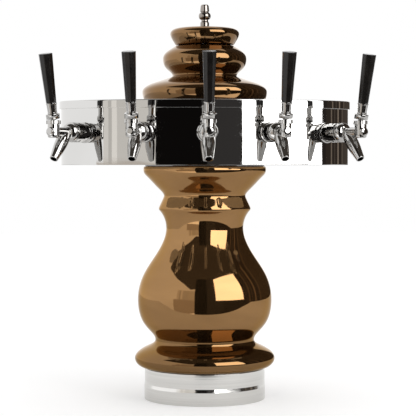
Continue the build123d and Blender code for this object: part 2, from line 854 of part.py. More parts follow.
with BuildPart() as lower_cap:
    brim_z = lid_top_z + cap_brim_height
    cone_z = lid_top_z + cap_cone_height
    neck_z = lid_top_z + cap_neck_height
    lobe_z = lid_top_z + cap_lobe_height
    brim, cone = (cap_brim_radius, brim_z), (cap_cone_radius, cone_z)
    neck, lobe = (cap_neck_radius, neck_z), (cap_lobe_radius, lobe_z)
    inner_lobe = (cap_lobe_radius - cap_wall, lobe_z)
    inner_neck = (cap_neck_radius - cap_wall, neck_z - 0.75 * cap_wall)
    inner_cone = (cap_cone_radius, cone_z - 1.1 * cap_wall)
    cone_to_brim = cap_brim_radius - cap_cone_radius
    neck_to_lobe = cap_lobe_radius - cap_neck_radius
    cone_fall = (cap_neck_radius - cap_cone_radius, neck_z - cone_z)
    with BuildSketch(Plane.XZ):
        with BuildLine():
            Spline((cap_foot_radius, lid_top_z), brim, tangents=[(0.6, 1), up])
            Spline(
                brim,
                (cap_cone_radius + 0.68 * cone_to_brim, brim_z + 0.58 * (cone_z - brim_z)),
                cone,
                tangents=[up, cone_fall],
            )
            Line(cone, neck)
            Spline(
                neck,
                (cap_neck_radius + 0.48 * neck_to_lobe, neck_z + 0.34 * (lobe_z - neck_z)),
                (cap_neck_radius + 0.85 * neck_to_lobe, neck_z + 0.58 * (lobe_z - neck_z)),
                lobe,
                tangents=[up, up],
            )
            Spline(lobe, (top_cap_foot_radius, top_cap_z), tangents=[up, (-1, 0.7)])
            Line((top_cap_foot_radius, top_cap_z), (rod_hole, top_cap_z))
            Line((rod_hole, top_cap_z), (rod_hole, top_cap_z - cap_wall))
            Line((rod_hole, top_cap_z - cap_wall), (top_cap_foot_radius - cap_wall, top_cap_z - cap_wall))
            Spline(
                (top_cap_foot_radius - cap_wall, top_cap_z - cap_wall),
                inner_lobe,
                tangents=[(1, -0.7), down],
            )
            Spline(inner_lobe, inner_neck, tangents=[down, down])
            Line(inner_neck, inner_cone)
            Spline(
                inner_cone,
                (cap_brim_radius - cap_wall, brim_z),
                (cap_foot_radius - cap_wall, lid_top_z),
                tangents=[(1, -0.3), (-0.6, -1)],
            )
            Line((cap_foot_radius - cap_wall, lid_top_z), (cap_foot_radius, lid_top_z))
        make_face()
    revolve(axis=Axis.Z)
keep(lower_cap.part, "lower_cap")

with BuildPart() as upper_cap:
    crest_z = top_cap_z + top_cap_lobe_height
    crest_to_top = top_cap_height - top_cap_lobe_height
    crest = (top_cap_lobe_radius, crest_z)
    inner_crest = (top_cap_lobe_radius - cap_wall, crest_z - cap_wall / 2)
    with BuildSketch(Plane.XZ):
        with BuildLine():
            Spline((top_cap_foot_radius, top_cap_z), crest, tangents=[(0.5, 1), up])
            Spline(
                crest,
                (0.93 * top_cap_lobe_radius, crest_z + 0.62 * crest_to_top),
                (0.76 * top_cap_lobe_radius, crest_z + 0.88 * crest_to_top),
                (finial_foot_radius + loose_gap, finial_z),
                tangents=[up, (-1, 0)],
            )
            Polyline(
                (finial_foot_radius + loose_gap, finial_z),
                (rod_hole, finial_z),
                (rod_hole, finial_z - cap_wall),
            )
            Spline((rod_hole, finial_z - cap_wall), inner_crest, tangents=[(1, 0), (0.2, -1)])
            Spline(inner_crest, (top_cap_foot_radius - cap_wall, top_cap_z), tangents=[(0.2, -1), (-0.5, -1)])
            Line((top_cap_foot_radius - cap_wall, top_cap_z), (top_cap_foot_radius, top_cap_z))
        make_face()
    revolve(axis=Axis.Z)
keep(upper_cap.part, "upper_cap")

with BuildPart() as finial:
    with BuildSketch(Plane.XZ):
        with BuildLine():
            Line((0, finial_z), (finial_foot_radius, finial_z))
            Spline(
                (finial_foot_radius, finial_z),
                (finial_foot_radius, finial_z + 0.1 * finial_height),
                (finial_stem_radius, finial_z + 0.33 * finial_height),
                (finial_bead_radius, finial_z + 0.6 * finial_height),
                (finial_crown_radius, finial_z + 0.8 * finial_height),
                (finial_tip_radius, finial_z + finial_height),
                tangents=[up, (-0.3, 1)],
            )
            Line((finial_tip_radius, finial_z + finial_height), (0, finial_z + finial_height))
            Line((0, finial_z + finial_height), (0, finial_z))
        make_face()
    revolve(axis=Axis.Z)
    with BuildSketch(Plane.XY.offset(finial_z)):
        Circle(rod_radius + slide_gap)
    extrude(amount=finial_grip_depth, mode=Mode.SUBTRACT)
keep(finial.part, "finial")
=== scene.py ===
"""Beer tower with five lever taps: the dressed pieces round its frame, and the studio that shows it.

Metres. +Z is up and -Y is the side that the taps face. A tap's pieces are made at one tap's own place,
with the tap along -Y and the middle of its wall plate's back at the origin, and then copied to every tap.
"""

import json
from math import atan2, cos, pi, radians, sin, sqrt, tan

import bpy
import numpy as np
from bpy.props import FloatProperty, FloatVectorProperty, IntProperty, PointerProperty
from bpy.types import Operator, Panel, PropertyGroup
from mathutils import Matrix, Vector


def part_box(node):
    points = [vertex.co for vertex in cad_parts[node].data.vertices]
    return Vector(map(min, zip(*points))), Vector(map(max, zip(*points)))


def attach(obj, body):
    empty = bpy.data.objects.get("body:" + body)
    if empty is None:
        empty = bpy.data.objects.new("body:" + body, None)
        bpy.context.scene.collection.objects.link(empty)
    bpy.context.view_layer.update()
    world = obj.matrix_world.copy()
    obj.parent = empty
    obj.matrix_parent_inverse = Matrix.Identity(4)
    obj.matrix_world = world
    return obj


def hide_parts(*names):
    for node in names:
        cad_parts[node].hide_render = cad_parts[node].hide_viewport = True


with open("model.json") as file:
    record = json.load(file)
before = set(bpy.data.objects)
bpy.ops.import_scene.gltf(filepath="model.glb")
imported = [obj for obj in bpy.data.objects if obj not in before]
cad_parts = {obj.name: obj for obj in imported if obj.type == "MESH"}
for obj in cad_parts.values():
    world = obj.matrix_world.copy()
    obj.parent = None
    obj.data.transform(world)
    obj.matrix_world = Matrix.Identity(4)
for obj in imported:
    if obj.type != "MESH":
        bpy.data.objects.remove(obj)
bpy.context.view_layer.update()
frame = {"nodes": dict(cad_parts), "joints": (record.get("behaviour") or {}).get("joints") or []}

bl_info = {
    "name": "Beer tower",
    "version": (1, 0, 0),
    "blender": (4, 5, 0),
    "location": "3D View > Sidebar > Beer tower",
    "description": "Makes a ceramic beer tower with five lever taps, piece by piece",
    "category": "Add Mesh",
}

# ---------------------------------------------------------------- what the frame says

HINGES = [joint for joint in frame["joints"] if joint["type"] == "hinge"]
TAP_NUMBERS = range(1, len(HINGES) + 1)


def foot_of(node):
    """The height of a node's foot."""
    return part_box(node)[0].z


def top_of(node):
    """The height of a node's top."""
    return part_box(node)[1].z


def half_width(node):
    """Half of a node's width along X."""
    return (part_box(node)[1].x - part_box(node)[0].x) / 2


def half_depth(node):
    """Half of a node's depth along Y."""
    return (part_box(node)[1].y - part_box(node)[0].y) / 2


# ---------------------------------------------------------------- sizes and colours


def length(description, default):
    """A size in metres."""
    return FloatProperty(description=description, default=default, unit="LENGTH", precision=4)


def angle(description, degrees_default):
    """An angle, whose default is given in degrees."""
    return FloatProperty(description=description, default=radians(degrees_default), subtype="ANGLE")


def number(description, default):
    """A plain number."""
    return FloatProperty(description=description, default=default)


def colour(description, default):
    """A colour in linear red, green and blue."""
    limits = {"size": 3, "min": 0, "max": 1}
    return FloatVectorProperty(description=description, default=default, subtype="COLOR", **limits)


def place(description, default):
    """A place in metres."""
    return FloatVectorProperty(description=description, default=default, subtype="TRANSLATION", size=3)


class BaseRingSizes(PropertyGroup):
    """The polished ring that the column stands on."""

    radius: length("Outer radius of the ring", half_width("base_ring"))
    height: length("Height of the ring", top_of("base_ring"))
    wall: length("Thickness of its wall", 0.0025)
    lip_width: length("Width of the lip under the column", 0.013)
    lip_thickness: length("Thickness of that lip", 0.003)
    step: length("How much narrower the upper part is", 0.0008)
    step_foot: length("Height where it starts to narrow", 0.022)
    step_height: length("Height over which it narrows", 0.0055)
    edge: length("Radius of the ring's edges", 0.0006)


class ColumnSizes(PropertyGroup):
    """The turned ceramic column: heights go up from its foot, drops go down from its top."""

    wall: length("Thickness of the ceramic", 0.007)
    foot_bore: length("Inner radius at the foot", 0.0917)
    foot_edge: length("Radius where the foot meets the seal", 0.104)
    foot: length("Radius of the foot's roll", half_width("ceramic_column"))
    foot_height: length("Height of the roll's widest place", 0.0146)
    ankle: length("Radius of the narrow place over the foot", 0.0828)
    ankle_height: length("Its height", 0.0461)
    belly: length("Radius of the belly", 0.113)
    belly_height: length("Its height", 0.1139)
    waist: length("Radius of the waist", 0.065)
    waist_drop: length("How far it is below the top", 0.1041)
    ridge: length("Radius of the sharp ridge", 0.0786)
    ridge_drop: length("How far it is below the top", 0.0729)
    throat: length("Radius of the throat over the ridge", 0.068)
    throat_drop: length("How far it is below the top", 0.050)
    crown: length("Radius of the roll under the header", 0.1038)
    crown_roll: length("How far the roll turns in at the top", 0.0015)
    crown_drop: length("How far its widest place is below the top", 0.009)
    crown_lip: length("Width of the rim under the header", 0.012)


class HeaderSizes(PropertyGroup):
    """The oval header: its wall and the lid with a skirt."""

    sheet: length("Thickness of the sheet metal", 0.002)
    skirt: length("Height of the lid's skirt", 0.0135)
    edge: length("Radius of the lid's upper edge", 0.0016)
    fold: length("Radius of the other edges", 0.0004)
    hem: length("Radius of the wall's lower edge", 0.0009)
    fit: length("Gap between the wall and the skirt", 0.0001)
    flat: length("How far in from the wall the lid's flat middle starts", 0.03)
    shank_hole: length("Radius of the holes for the shanks", 0.0115)


class CapSizes(PropertyGroup):
    """The two ceramic caps: heights go up from the lid, and from the lower cap for the upper one."""

    wall: length("Thickness of the ceramic", 0.006)
    rod_hole: length("Radius of the hole for the finial's rod", 0.0045)
    rim_gap: length("Width of the rim round the finial's foot", 0.0005)
    foot: length("Radius where the lower cap stands on the lid", 0.101)
    brim: length("Radius of the brim", half_width("lower_cap"))
    brim_height: length("Its height", 0.017)
    cone: length("Radius where the cone over the brim starts", 0.0846)
    cone_height: length("Its height", 0.0325)
    neck: length("Radius of the lower cap's neck", 0.054)
    neck_height: length("Its height", 0.0428)
    lobe: length("Radius of the lower cap's lobe", 0.0707)
    lobe_height: length("Its height", 0.0725)
    seat: length("Radius where the upper cap stands on the lower one", 0.049)
    crest: length("Radius of the upper cap's lobe", half_width("upper_cap"))
    crest_height: length("Its height", 0.0207)


class FinialSizes(PropertyGroup):
    """The small turned finial."""

    foot: length("Radius of its foot", 0.0074)
    neck: length("Radius of its neck", 0.0058)
    bead: length("Radius of its bead", half_width("finial"))
    bead_edge: length("Radius where the bead starts and ends", 0.0076)
    groove: length("Radius of the groove over the bead", 0.0068)
    crown: length("Radius of its upper part", 0.0078)
    crown_top: length("Radius of that part's top", 0.0067)
    crown_edge: length("Width of the slope round that top", 0.0014)
    edge: length("Radius of its edges", 0.0004)
    rod: length("Radius of the hole for the rod", 0.0041)
    rod_depth: length("Depth of that hole", 0.020)


class TapSizes(PropertyGroup):
    """One tap: "out" is a distance from the header's wall, and heights are from the shank's middle."""

    pivot_out: length("How far out the lever's pivot is", 0.085)
    pivot_height: length("Its height", 0.015)
    plate: length("Radius of the wall plate", 0.0169)
    plate_thickness: length("Thickness of the wall plate", 0.0035)
    plate_sink: length("How deep its edge is let into the curved wall", 0.0014)
    shank: length("Radius of the shank's thread", 0.0111)
    nut_start: length("How far out the coupling nut starts", 0.0156)
    nut_end: length("How far out it ends", 0.0364)
    nut: length("Radius of the coupling nut", 0.0162)
    nut_bore: length("Radius of its thread", 0.0131)
    nut_lip: length("Thickness of its inner lip", 0.0024)
    tail: length("Radius of the tap's tail in the nut", 0.0105)
    hole: length("Radius of the nut's spanner holes", 0.0022)
    hole_depth: length("Depth of the spanner holes", 0.0018)
    hole_count: IntProperty(description="Number of spanner holes", default=6)
    tail_length: length("Length of the tap's tail inside the nut", 0.002)
    chamber: length("Radius of the chamber behind the valve's seat", 0.0076)
    seat_out: length("How far out the valve's seat is", 0.048)
    shoulder: length("Radius of the tap's shoulder", 0.0158)
    shoulder_length: length("Length of the shoulder", 0.005)
    dome: length("Length of the dome that closes the shoulder", 0.008)
    barrel: length("Radius of the barrel", 0.0077)
    bore: length("Radius of the barrel's bore", 0.0053)
    bore_end: length("How far out the barrel's bore ends", 0.0875)
    tower: length("Radius of the tower that holds the lever's ball", 0.0095)
    tower_top: length("Its top", 0.0164)
    tower_bottom: length("How far its foot is below the shank's middle", 0.010)
    tower_edge: length("Radius of the tower's lower edge", 0.006)
    roundel: length("Radius of the round boss in front", 0.0068)
    roundel_reach: length("How far it stands out from the pivot", 0.0118)
    roundel_face: number("Share of its radius that its flat face takes", 0.6)
    spout_lean: angle("How far the spout leans out", 38.0)
    spout_root: length("Radius of the spout inside the barrel", 0.0076)
    spout_swell: length("Radius of the spout where it is thickest", 0.0102)
    spout_swell_at: number("Where that is, as a share of its length", 0.22)
    spout_tip: length("Radius of the spout's tip", 0.0069)
    spout_bore: length("Radius of the spout's bore", 0.0054)
    bore_depth: length("Depth of that bore", 0.040)
    spout_throat: length("Radius of the passage behind it", 0.004)
    spout_drop: length("How far the tip is below the shank's middle", 0.0435)
    socket: length("Radius of the socket for the lever's ball", 0.0063)
    mouth: length("Radius of the bonnet's mouth over the ball", 0.0052)
    neck_room: length("Room beside the lever's neck in the bonnet's slot", 0.0004)
    finger_slot: length("Half of the width of the slot for the lever's finger", 0.0024)
    slot_length: length("Length of that slot", 0.0115)
    slot_front: length("How far it starts in front of the pivot", 0.0015)
    bonnet: length("Radius of the bonnet", 0.0116)
    bonnet_height: length("Height of the bonnet", 0.006)
    notch: length("Radius of the bonnet's notches", 0.0016)
    notch_count: IntProperty(description="Number of notches", default=6)
    edge: length("Radius of the edges", 0.0005)
    melt: length("Size of the cells in which the body's pieces are melted together", 0.00045)
    melt_passes: IntProperty(description="How often the melted body is smoothed", default=8)


class HandleSizes(PropertyGroup):
    """One lever and its handle, with heights along the lever from its pivot."""

    lean: angle("How far the closed lever leans out", 11.0)
    travel: angle("How far it swings open", 25.0)
    ball: length("Radius of the lever's ball", 0.0059)
    neck: length("Radius of the lever's neck", 0.0031)
    finger: length("Radius of the finger that moves the valve", 0.0015)
    finger_tip: length("Radius of its tip", 0.002)
    finger_reach: length("Its length", 0.013)
    collar: length("Radius of the collar", 0.011)
    collar_top: length("Height of the collar's top", 0.0137)
    collar_edge: length("Radius of the collar's edges", 0.0008)
    dome: length("Radius of the hollow under the collar", 0.0124)
    thread: length("Length of the thread over the collar", 0.012)
    ferrule_foot: length("Radius of the ferrule's foot", 0.0074)
    ferrule_top: length("Radius of the ferrule's top", 0.0082)
    ferrule_length: length("Length of the ferrule", 0.0176)
    bead: length("How far the ferrule's beads stand out", 0.0005)
    bead_height: length("Height of those beads", 0.002)
    bead_run: length("Height over which a bead runs into the side", 0.0026)
    ferrule_edge: length("Radius of the ferrule's edges", 0.0003)
    stud: length("Radius of the stud in the handle", 0.004)
    stud_length: length("Length of that stud", 0.014)
    grip_foot: length("Radius of the handle's foot", 0.0087)
    grip_top: length("Radius of its top", 0.0116)
    grip_length: length("Length of the handle", 0.0785)
    grip_sides: IntProperty(description="Number of the handle's sides", default=8)
    grip_edge: length("Radius of its edges", 0.0012)


class TowerColours(PropertyGroup):
    """The colours of the finishes."""

    glaze: colour("The lustre glaze at its palest", (0.305, 0.17, 0.07))
    glaze_deep: colour("The lustre glaze where it runs thick", (0.24, 0.132, 0.054))
    cap_glaze: colour("The caps' darker glaze at its palest", (0.22, 0.12, 0.047))
    cap_glaze_deep: colour("The caps' glaze where it runs thick", (0.16, 0.087, 0.034))
    cap_edge: colour("The caps' glaze seen along its surface", (0.97, 0.94, 0.9))
    # painted shade: the share of its brightness that the glaze keeps towards its foot
    pool: number("How dark the glaze is where it pooled, as a share of the rest", 0.7)
    glaze_edge: colour("The lustre glaze seen along its surface", (0.72, 0.6, 0.45))
    chrome: colour("Polished chrome", (0.56, 0.555, 0.545))
    chrome_worn: colour("Chrome with fine wear", (0.52, 0.515, 0.505))
    tap: colour("The taps' chrome", (0.46, 0.452, 0.44))
    tap_worn: colour("The taps' chrome with fine wear", (0.40, 0.393, 0.382))
    finial: colour("The finial's chrome", (0.28, 0.252, 0.23))
    finial_worn: colour("The finial's chrome with wear", (0.22, 0.197, 0.175))
    ring: colour("The polished base ring", (0.68, 0.67, 0.65))
    ring_line: colour("The turning lines in the base ring", (0.60, 0.59, 0.57))
    grip: colour("The black handles", (0.005, 0.004, 0.0035))
    grip_bloom: colour("The handles where they are worn", (0.011, 0.0085, 0.007))
    steel: colour("Plain stainless steel", (0.62, 0.62, 0.62))
    steel_line: colour("The steel's brushed lines", (0.48, 0.48, 0.49))
    rubber: colour("The seals", (0.028, 0.028, 0.030))
    rubber_bloom: colour("The seals' paler bloom", (0.055, 0.055, 0.058))
    foam: colour("The insulation", (0.10, 0.10, 0.105))
    foam_pore: colour("The insulation's pores", (0.045, 0.045, 0.048))
    tube: colour("The plastic tubes", (0.80, 0.80, 0.76))
    tube_shade: colour("The tubes' darker haze", (0.66, 0.67, 0.65))


class StudioSizes(PropertyGroup):
    """The camera, the floor and the panels that the metal mirrors."""

    camera_distance: length("From the tower's axis to the camera", 2.53)
    camera_height: length("Height of the camera", 0.393)
    camera_turn: angle("How far the camera stands round from the front", -2.0)
    camera_yaw: angle("How far it looks past the tower's axis", 0.126)
    camera_pitch: angle("How far it looks down", 1.64)
    focal_length: number("The lens in millimetres on a 36 mm sensor", 129.8)
    floor_reach: length("How far the floor runs back and to the sides", 6.0)
    floor_front: length("How far the floor runs out in front", 0.45)
    floor_gap: length("How far it lies below the tower's foot", 0.0002)
    floor_level: number("How much the floor glows in a mirror", 0.2)
    floor_lift: number("How much it glows where the camera sees it", 0.1)
    floor_shade: colour("The floor's colour in the light that it gives back", (0.78, 0.78, 0.775))
    floor_seen: colour("The floor's colour where the camera sees it", (0.96, 0.96, 0.96))
    lamp_place: place("Where the lamp hangs", (1.6, -2.0, 1.5))
    lamp_aim: place("What it points at", (0, 0, 0.4))
    lamp_size: length("Width of the lamp", 1.0)
    lamp_power: number("The lamp's power in watts", 10)
    mirror_level: number("Brightness of the bare studio in a mirror", 1.36)
    softbox_level: number("Brightness of the softbox in a mirror", 5.0)


# ---------------------------------------------------------------- making meshes

ROUND_SIDES = 96  # round the ceramic pieces and the base ring
OVAL_SIDES = 160  # round the header
TAP_SIDES = 40  # round the taps' pieces and the finial
SMALL_SIDES = 16  # round their small holes
BALL_LIFTS = range(20, 141, 12)  # degrees up round a lever's ball, from its lowest point
DOME_POINTS = 6  # across the hollow under a lever's collar
POLE = 0.0002  # radius at which a solid's outline starts and ends beside its axis
CLEARANCE = 0.0001  # between pieces that fit together
PAST = 0.01  # how far a cutter reaches past what it cuts
UP, DOWN = (0, 1), (0, -1)  # directions of an outline
CORNER_STEPS = 3  # in a rounded corner
CORNER_SHARE = 0.4  # of the shorter run that a rounded corner may take
HOLD_REACH = 1.4  # how far from the corner the points that keep a run flat are, in corner reaches
HOLD_SHARE = 0.45  # of a run that may lie before such a point


def deselect():
    """Leaves edit mode with nothing selected."""
    if bpy.context.object and bpy.context.object.mode != "OBJECT":
        bpy.ops.object.mode_set(mode="OBJECT")
    bpy.ops.object.select_all(action="DESELECT")


def select(*pieces):
    """Selects these pieces alone, the first one active."""
    deselect()
    for piece in pieces:
        piece.select_set(True)
    bpy.context.view_layer.objects.active = pieces[0]


def settle(piece):
    """Moves a piece's place, turn and scale into its mesh."""
    select(piece)
    bpy.ops.object.transform_apply(location=True, rotation=True, scale=True)


def modify(piece, kind, **settings):
    """Adds a modifier and applies it."""
    select(piece)
    modifier = piece.modifiers.new(kind.lower(), kind)
    for key, value in settings.items():
        setattr(modifier, key, value)
    bpy.ops.object.modifier_apply(modifier=modifier.name)


def joined(*pieces):
    """Joins pieces into the first one."""
    select(*pieces)
    bpy.ops.object.join()
    return pieces[0]


def cut(piece, *cutters):
    """Cuts other pieces out of a piece, and removes them."""
    for cutter in cutters:
        modify(piece, "BOOLEAN", object=cutter, operation="DIFFERENCE", solver="EXACT")
        bpy.data.objects.remove(cutter)


def smooth_line(points, leave, arrive, spacing):
    """Points along a smooth curve through the given ones, with its direction set at both ends."""
    knots = np.array(points, float)
    spans = np.linalg.norm(np.diff(knots, axis=0), axis=1)
    count = len(knots)
    system, wanted = np.eye(count), np.zeros((count, 2))
    wanted[0], wanted[-1] = Vector(leave).normalized(), Vector(arrive).normalized()
    for i in range(1, count - 1):
        before, after = spans[i - 1], spans[i]
        system[i, i - 1 : i + 2] = after, 2 * (before + after), before
        steps = after * (knots[i] - knots[i - 1]) / before + before * (knots[i + 1] - knots[i]) / after
        wanted[i] = 3 * steps
    slopes = np.linalg.solve(system, wanted)
    line = [tuple(knots[0])]
    for i, span in enumerate(spans):
        pieces = max(2, round(span / spacing))
        for t in np.arange(1, pieces + 1) / pieces:
            start = (2 * t**3 - 3 * t**2 + 1) * knots[i] + (t**3 - 2 * t**2 + t) * span * slopes[i]
            end = (3 * t**2 - 2 * t**3) * knots[i + 1] + (t**3 - t**2) * span * slopes[i + 1]
            line.append(tuple(start + end))
    return line


def rounded(points, radius):
    """An outline with its corners rounded, and points beside each round that keep the runs flat."""
    corners = [Vector(point) for point in points]
    line = [tuple(corners[0])]
    for before, corner, after in zip(corners, corners[1:], corners[2:]):
        back, on = before - corner, after - corner
        opening = back.angle(on)
        reach = min(radius / tan(opening / 2), CORNER_SHARE * back.length, CORNER_SHARE * on.length)
        start, end = corner + reach * back.normalized(), corner + reach * on.normalized()
        hold_back = min(HOLD_REACH * reach, HOLD_SHARE * back.length)
        hold_on = min(HOLD_REACH * reach, HOLD_SHARE * on.length)
        line.append(tuple(corner + hold_back * back.normalized()))
        for step in range(CORNER_STEPS + 1):
            t = step / CORNER_STEPS
            line.append(tuple((1 - t) ** 2 * start + 2 * t * (1 - t) * corner + t**2 * end))
        line.append(tuple(corner + hold_on * on.normalized()))
    line.append(tuple(corners[-1]))
    return line


def between(start, end, shares):
    """The point that lies two shares, out and up, of the way from start to end."""
    return tuple(a + share * (b - a) for a, b, share in zip(start, end, shares))


class Outline(list):
    """An outline of (radius, height) that is drawn on from what it starts with."""

    def to(self, *points):
        """Goes straight on through points."""
        self.extend(points)

    def curve(self, *points, leave, arrive, spacing=0.005):
        """Goes smoothly on through points, with its direction set at both ends."""
        self.extend(smooth_line([self[-1], *points], leave, arrive, spacing)[1:])


def stack(name, rings, sides, closed=False):
    """A piece made of a ring that is extruded and scaled up through rings.

    Each ring is (half width, half depth, height). A closed piece's last ring is bridged to its first,
    so its outline starts and ends on a straight run, and any other piece's ends are filled.
    """
    deselect()
    wide, deep, height = rings[0]
    bpy.ops.mesh.primitive_circle_add(vertices=sides, radius=1)
    piece = bpy.context.object
    piece.name = piece.data.name = name
    bpy.ops.object.mode_set(mode="EDIT")
    bpy.ops.mesh.select_all(action="SELECT")
    bpy.ops.transform.rotate(value=pi / sides, orient_axis="Z", center_override=(0, 0, 0))
    bpy.ops.transform.resize(value=(wide, deep, 1), center_override=(0, 0, 0))
    bpy.ops.transform.translate(value=(0, 0, height))
    for next_wide, next_deep, next_height in rings[1:]:
        bpy.ops.mesh.extrude_region_move(TRANSFORM_OT_translate={"value": (0, 0, next_height - height)})
        scale = (next_wide / wide, next_deep / deep, 1)
        bpy.ops.transform.resize(value=scale, center_override=(0, 0, next_height))
        wide, deep, height = next_wide, next_deep, next_height
    bpy.ops.mesh.select_all(action="DESELECT")
    bpy.ops.mesh.select_mode(type="EDGE")
    bpy.ops.mesh.select_non_manifold()
    if closed:
        bpy.ops.mesh.bridge_edge_loops()
    else:
        bpy.ops.mesh.fill_holes(sides=0)
    bpy.ops.mesh.select_all(action="SELECT")
    bpy.ops.mesh.normals_make_consistent(inside=False)
    bpy.ops.object.mode_set(mode="OBJECT")
    bpy.ops.object.shade_smooth()
    return piece


def turned(name, outline, sides=TAP_SIDES, closed=False):
    """A round piece, turned about Z from its outline of (radius, height)."""
    return stack(name, [(radius, radius, height) for radius, height in outline], sides, closed)


def drill(start, *steps, sides=TAP_SIDES):
    """A solid to cut with, which goes up Z from start in steps of (radius, end)."""
    outline = [(POLE, start)]
    for radius, end in steps:
        outline += [(radius, start), (radius, end)]
        start = end
    return turned("drill", outline + [(POLE, start)], sides)


def cutting_box(size, location):
    """A box to cut with."""
    bpy.ops.mesh.primitive_cube_add(size=1)
    box = bpy.context.object
    box.scale = size
    return placed(box, location)


def crisp(piece, bend=30):
    """Shades a piece smooth, apart from edges that bend by more than these degrees."""
    select(piece)
    bpy.ops.object.shade_smooth_by_angle(angle=radians(bend))


def softened(piece, levels=1):
    """Smooths a piece by subdivision."""
    modify(piece, "SUBSURF", levels=levels, render_levels=levels)


def placed(piece, location=(0, 0, 0), turn=(0, 0, 0)):
    """Turns a piece, moves it and settles it."""
    piece.rotation_euler = turn
    piece.location = location
    settle(piece)
    return piece


def copied(piece, name):
    """A copy of a piece with its own mesh."""
    select(piece)
    bpy.ops.object.duplicate()
    copy = bpy.context.object
    copy.name = copy.data.name = name
    return copy


def at_tap(piece, number):
    """Moves a piece that was made at a tap's own place to that tap."""
    sizes = bpy.context.scene.tap_sizes
    hinge = HINGES[number - 1]
    turn = atan2(hinge["axis"][1], hinge["axis"][0])
    pivot = Vector(hinge["pos_m"])
    out = Vector((sin(turn), -cos(turn), 0))
    return placed(piece, pivot - sizes.pivot_out * out - Vector((0, 0, sizes.pivot_height)), (0, 0, turn))


def at_lever(piece):
    """Moves a piece that was made upright, with the pivot at the origin, to the closed lever's place."""
    sizes, handle = bpy.context.scene.tap_sizes, bpy.context.scene.handle_sizes
    return placed(piece, (0, -sizes.pivot_out, sizes.pivot_height), (handle.lean, 0, 0))


FACING_OUT = (pi / 2, 0, 0)  # turns a piece that points up so that it points out of the header


def dress(piece, body, slot, *nodes, look=None):
    """Gives a piece its look (its slot's, if none is named) and its body, and hides its CAD nodes."""
    piece.data.materials.clear()
    piece.data.materials.append(finish(look or slot))
    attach(piece, body)
    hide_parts(*nodes)


def dress_at_taps(piece, name, body, slot, node):
    """Copies a tap's piece to every tap. The body's and node's names are given up to the tap's number."""
    for tap in TAP_NUMBERS:
        copy = at_tap(copied(piece, f"{name}_{tap}"), tap)
        rides_on = f"{body}_{tap}" if body != "tower" else body
        dress(copy, rides_on, slot, f"{node}_{tap}")
    bpy.data.objects.remove(piece)


def dress_group_at_taps(piece, name, slot, node):
    """Copies a tap's piece to every tap as one piece, which stands for a node that holds them all."""
    copies = [at_tap(copied(piece, f"{name}_{tap}"), tap) for tap in TAP_NUMBERS]
    bpy.data.objects.remove(piece)
    group = joined(*copies)
    group.name = group.data.name = name
    dress(group, "tower", slot, node)


# ---------------------------------------------------------------- making finishes


class Finish:
    """A material whose colour, roughness and relief come from patterns on object coordinates."""

    def __init__(self, name, metallic=0.0, coat=0.0, coat_roughness=0.05):
        self.material = bpy.data.materials.new(name)
        self.material.use_nodes = True
        self.tree = self.material.node_tree
        self.shader = self.tree.nodes["Principled BSDF"]
        self.shader.inputs["Metallic"].default_value = metallic
        self.shader.inputs["Coat Weight"].default_value = coat
        self.shader.inputs["Coat Roughness"].default_value = coat_roughness
        self.place = self.add("ShaderNodeTexCoord").outputs["Object"]
        self.normal = None

    def add(self, kind, links=None, **settings):
        """Adds a node, sets its settings and inputs, and links what is given."""
        node = self.tree.nodes.new(kind)
        for key, value in settings.items():
            if key in node.inputs:
                node.inputs[key].default_value = value
            else:
                setattr(node, key, value)
        for key, socket in (links or {}).items():
            self.tree.links.new(socket, node.inputs[key])
        return node

    def grain(self, scale, stretch=(1, 1, 1), detail=3.0, roughness=0.5, distortion=0.0):
        """A noise pattern with so many grains to the metre, stretched by its three scales."""
        mapping = self.add("ShaderNodeMapping", {"Vector": self.place}, Scale=stretch)
        noise = self.add(
            "ShaderNodeTexNoise",
            {"Vector": mapping.outputs["Vector"]},
            Scale=scale,
            Detail=detail,
            Roughness=roughness,
            Distortion=distortion,
        )
        return noise.outputs["Fac"]

    def cells(self, scale):
        """A pattern of cells, dark in their middles."""
        return self.add("ShaderNodeTexVoronoi", {"Vector": self.place}, Scale=scale).outputs["Distance"]

    def tint(self, pattern, low, high, start=0.3, end=0.7):
        """Colours the surface from low to high as the pattern goes from start to end."""
        ramp = self.add("ShaderNodeValToRGB", {"Fac": pattern})
        ends = ramp.color_ramp.elements
        ends[0].position, ends[1].position = start, end
        ends[0].color, ends[1].color = (*low, 1), (*high, 1)
        self.tree.links.new(ramp.outputs["Color"], self.shader.inputs["Base Color"])

    def paint_shade_below(self, start, end, share):
        """Painted shade: darkens the surface below end, easing down to a share of itself at start."""
        height = self.add("ShaderNodeSeparateXYZ", {"Vector": self.place}).outputs["Z"]
        span = {"From Min": start, "From Max": end, "To Min": share, "To Max": 1.0}
        level = self.add("ShaderNodeMapRange", {"Value": height}, **span).outputs["Result"]
        base = self.shader.inputs["Base Color"]
        links = {0: base.links[0].from_socket, "Scale": level}
        darker = self.add("ShaderNodeVectorMath", links, operation="SCALE")
        self.tree.links.new(darker.outputs["Vector"], base)

    def polish(self, pattern, low, high, start=0.3, end=0.7):
        """Makes the surface as rough as low to high as the pattern goes from start to end."""
        span = self.add("ShaderNodeMapRange", {"Value": pattern})
        for key, value in (("From Min", start), ("From Max", end), ("To Min", low), ("To Max", high)):
            span.inputs[key].default_value = value
        self.tree.links.new(span.outputs["Result"], self.shader.inputs["Roughness"])

    def relief(self, pattern, depth, strength=1.0):
        """Raises the surface by the pattern, so many metres deep."""
        bump = self.add("ShaderNodeBump", {"Height": pattern}, Strength=strength, Distance=depth)
        if self.normal:
            self.tree.links.new(self.normal, bump.inputs["Normal"])
        self.normal = bump.outputs["Normal"]
        self.tree.links.new(self.normal, self.shader.inputs["Normal"])


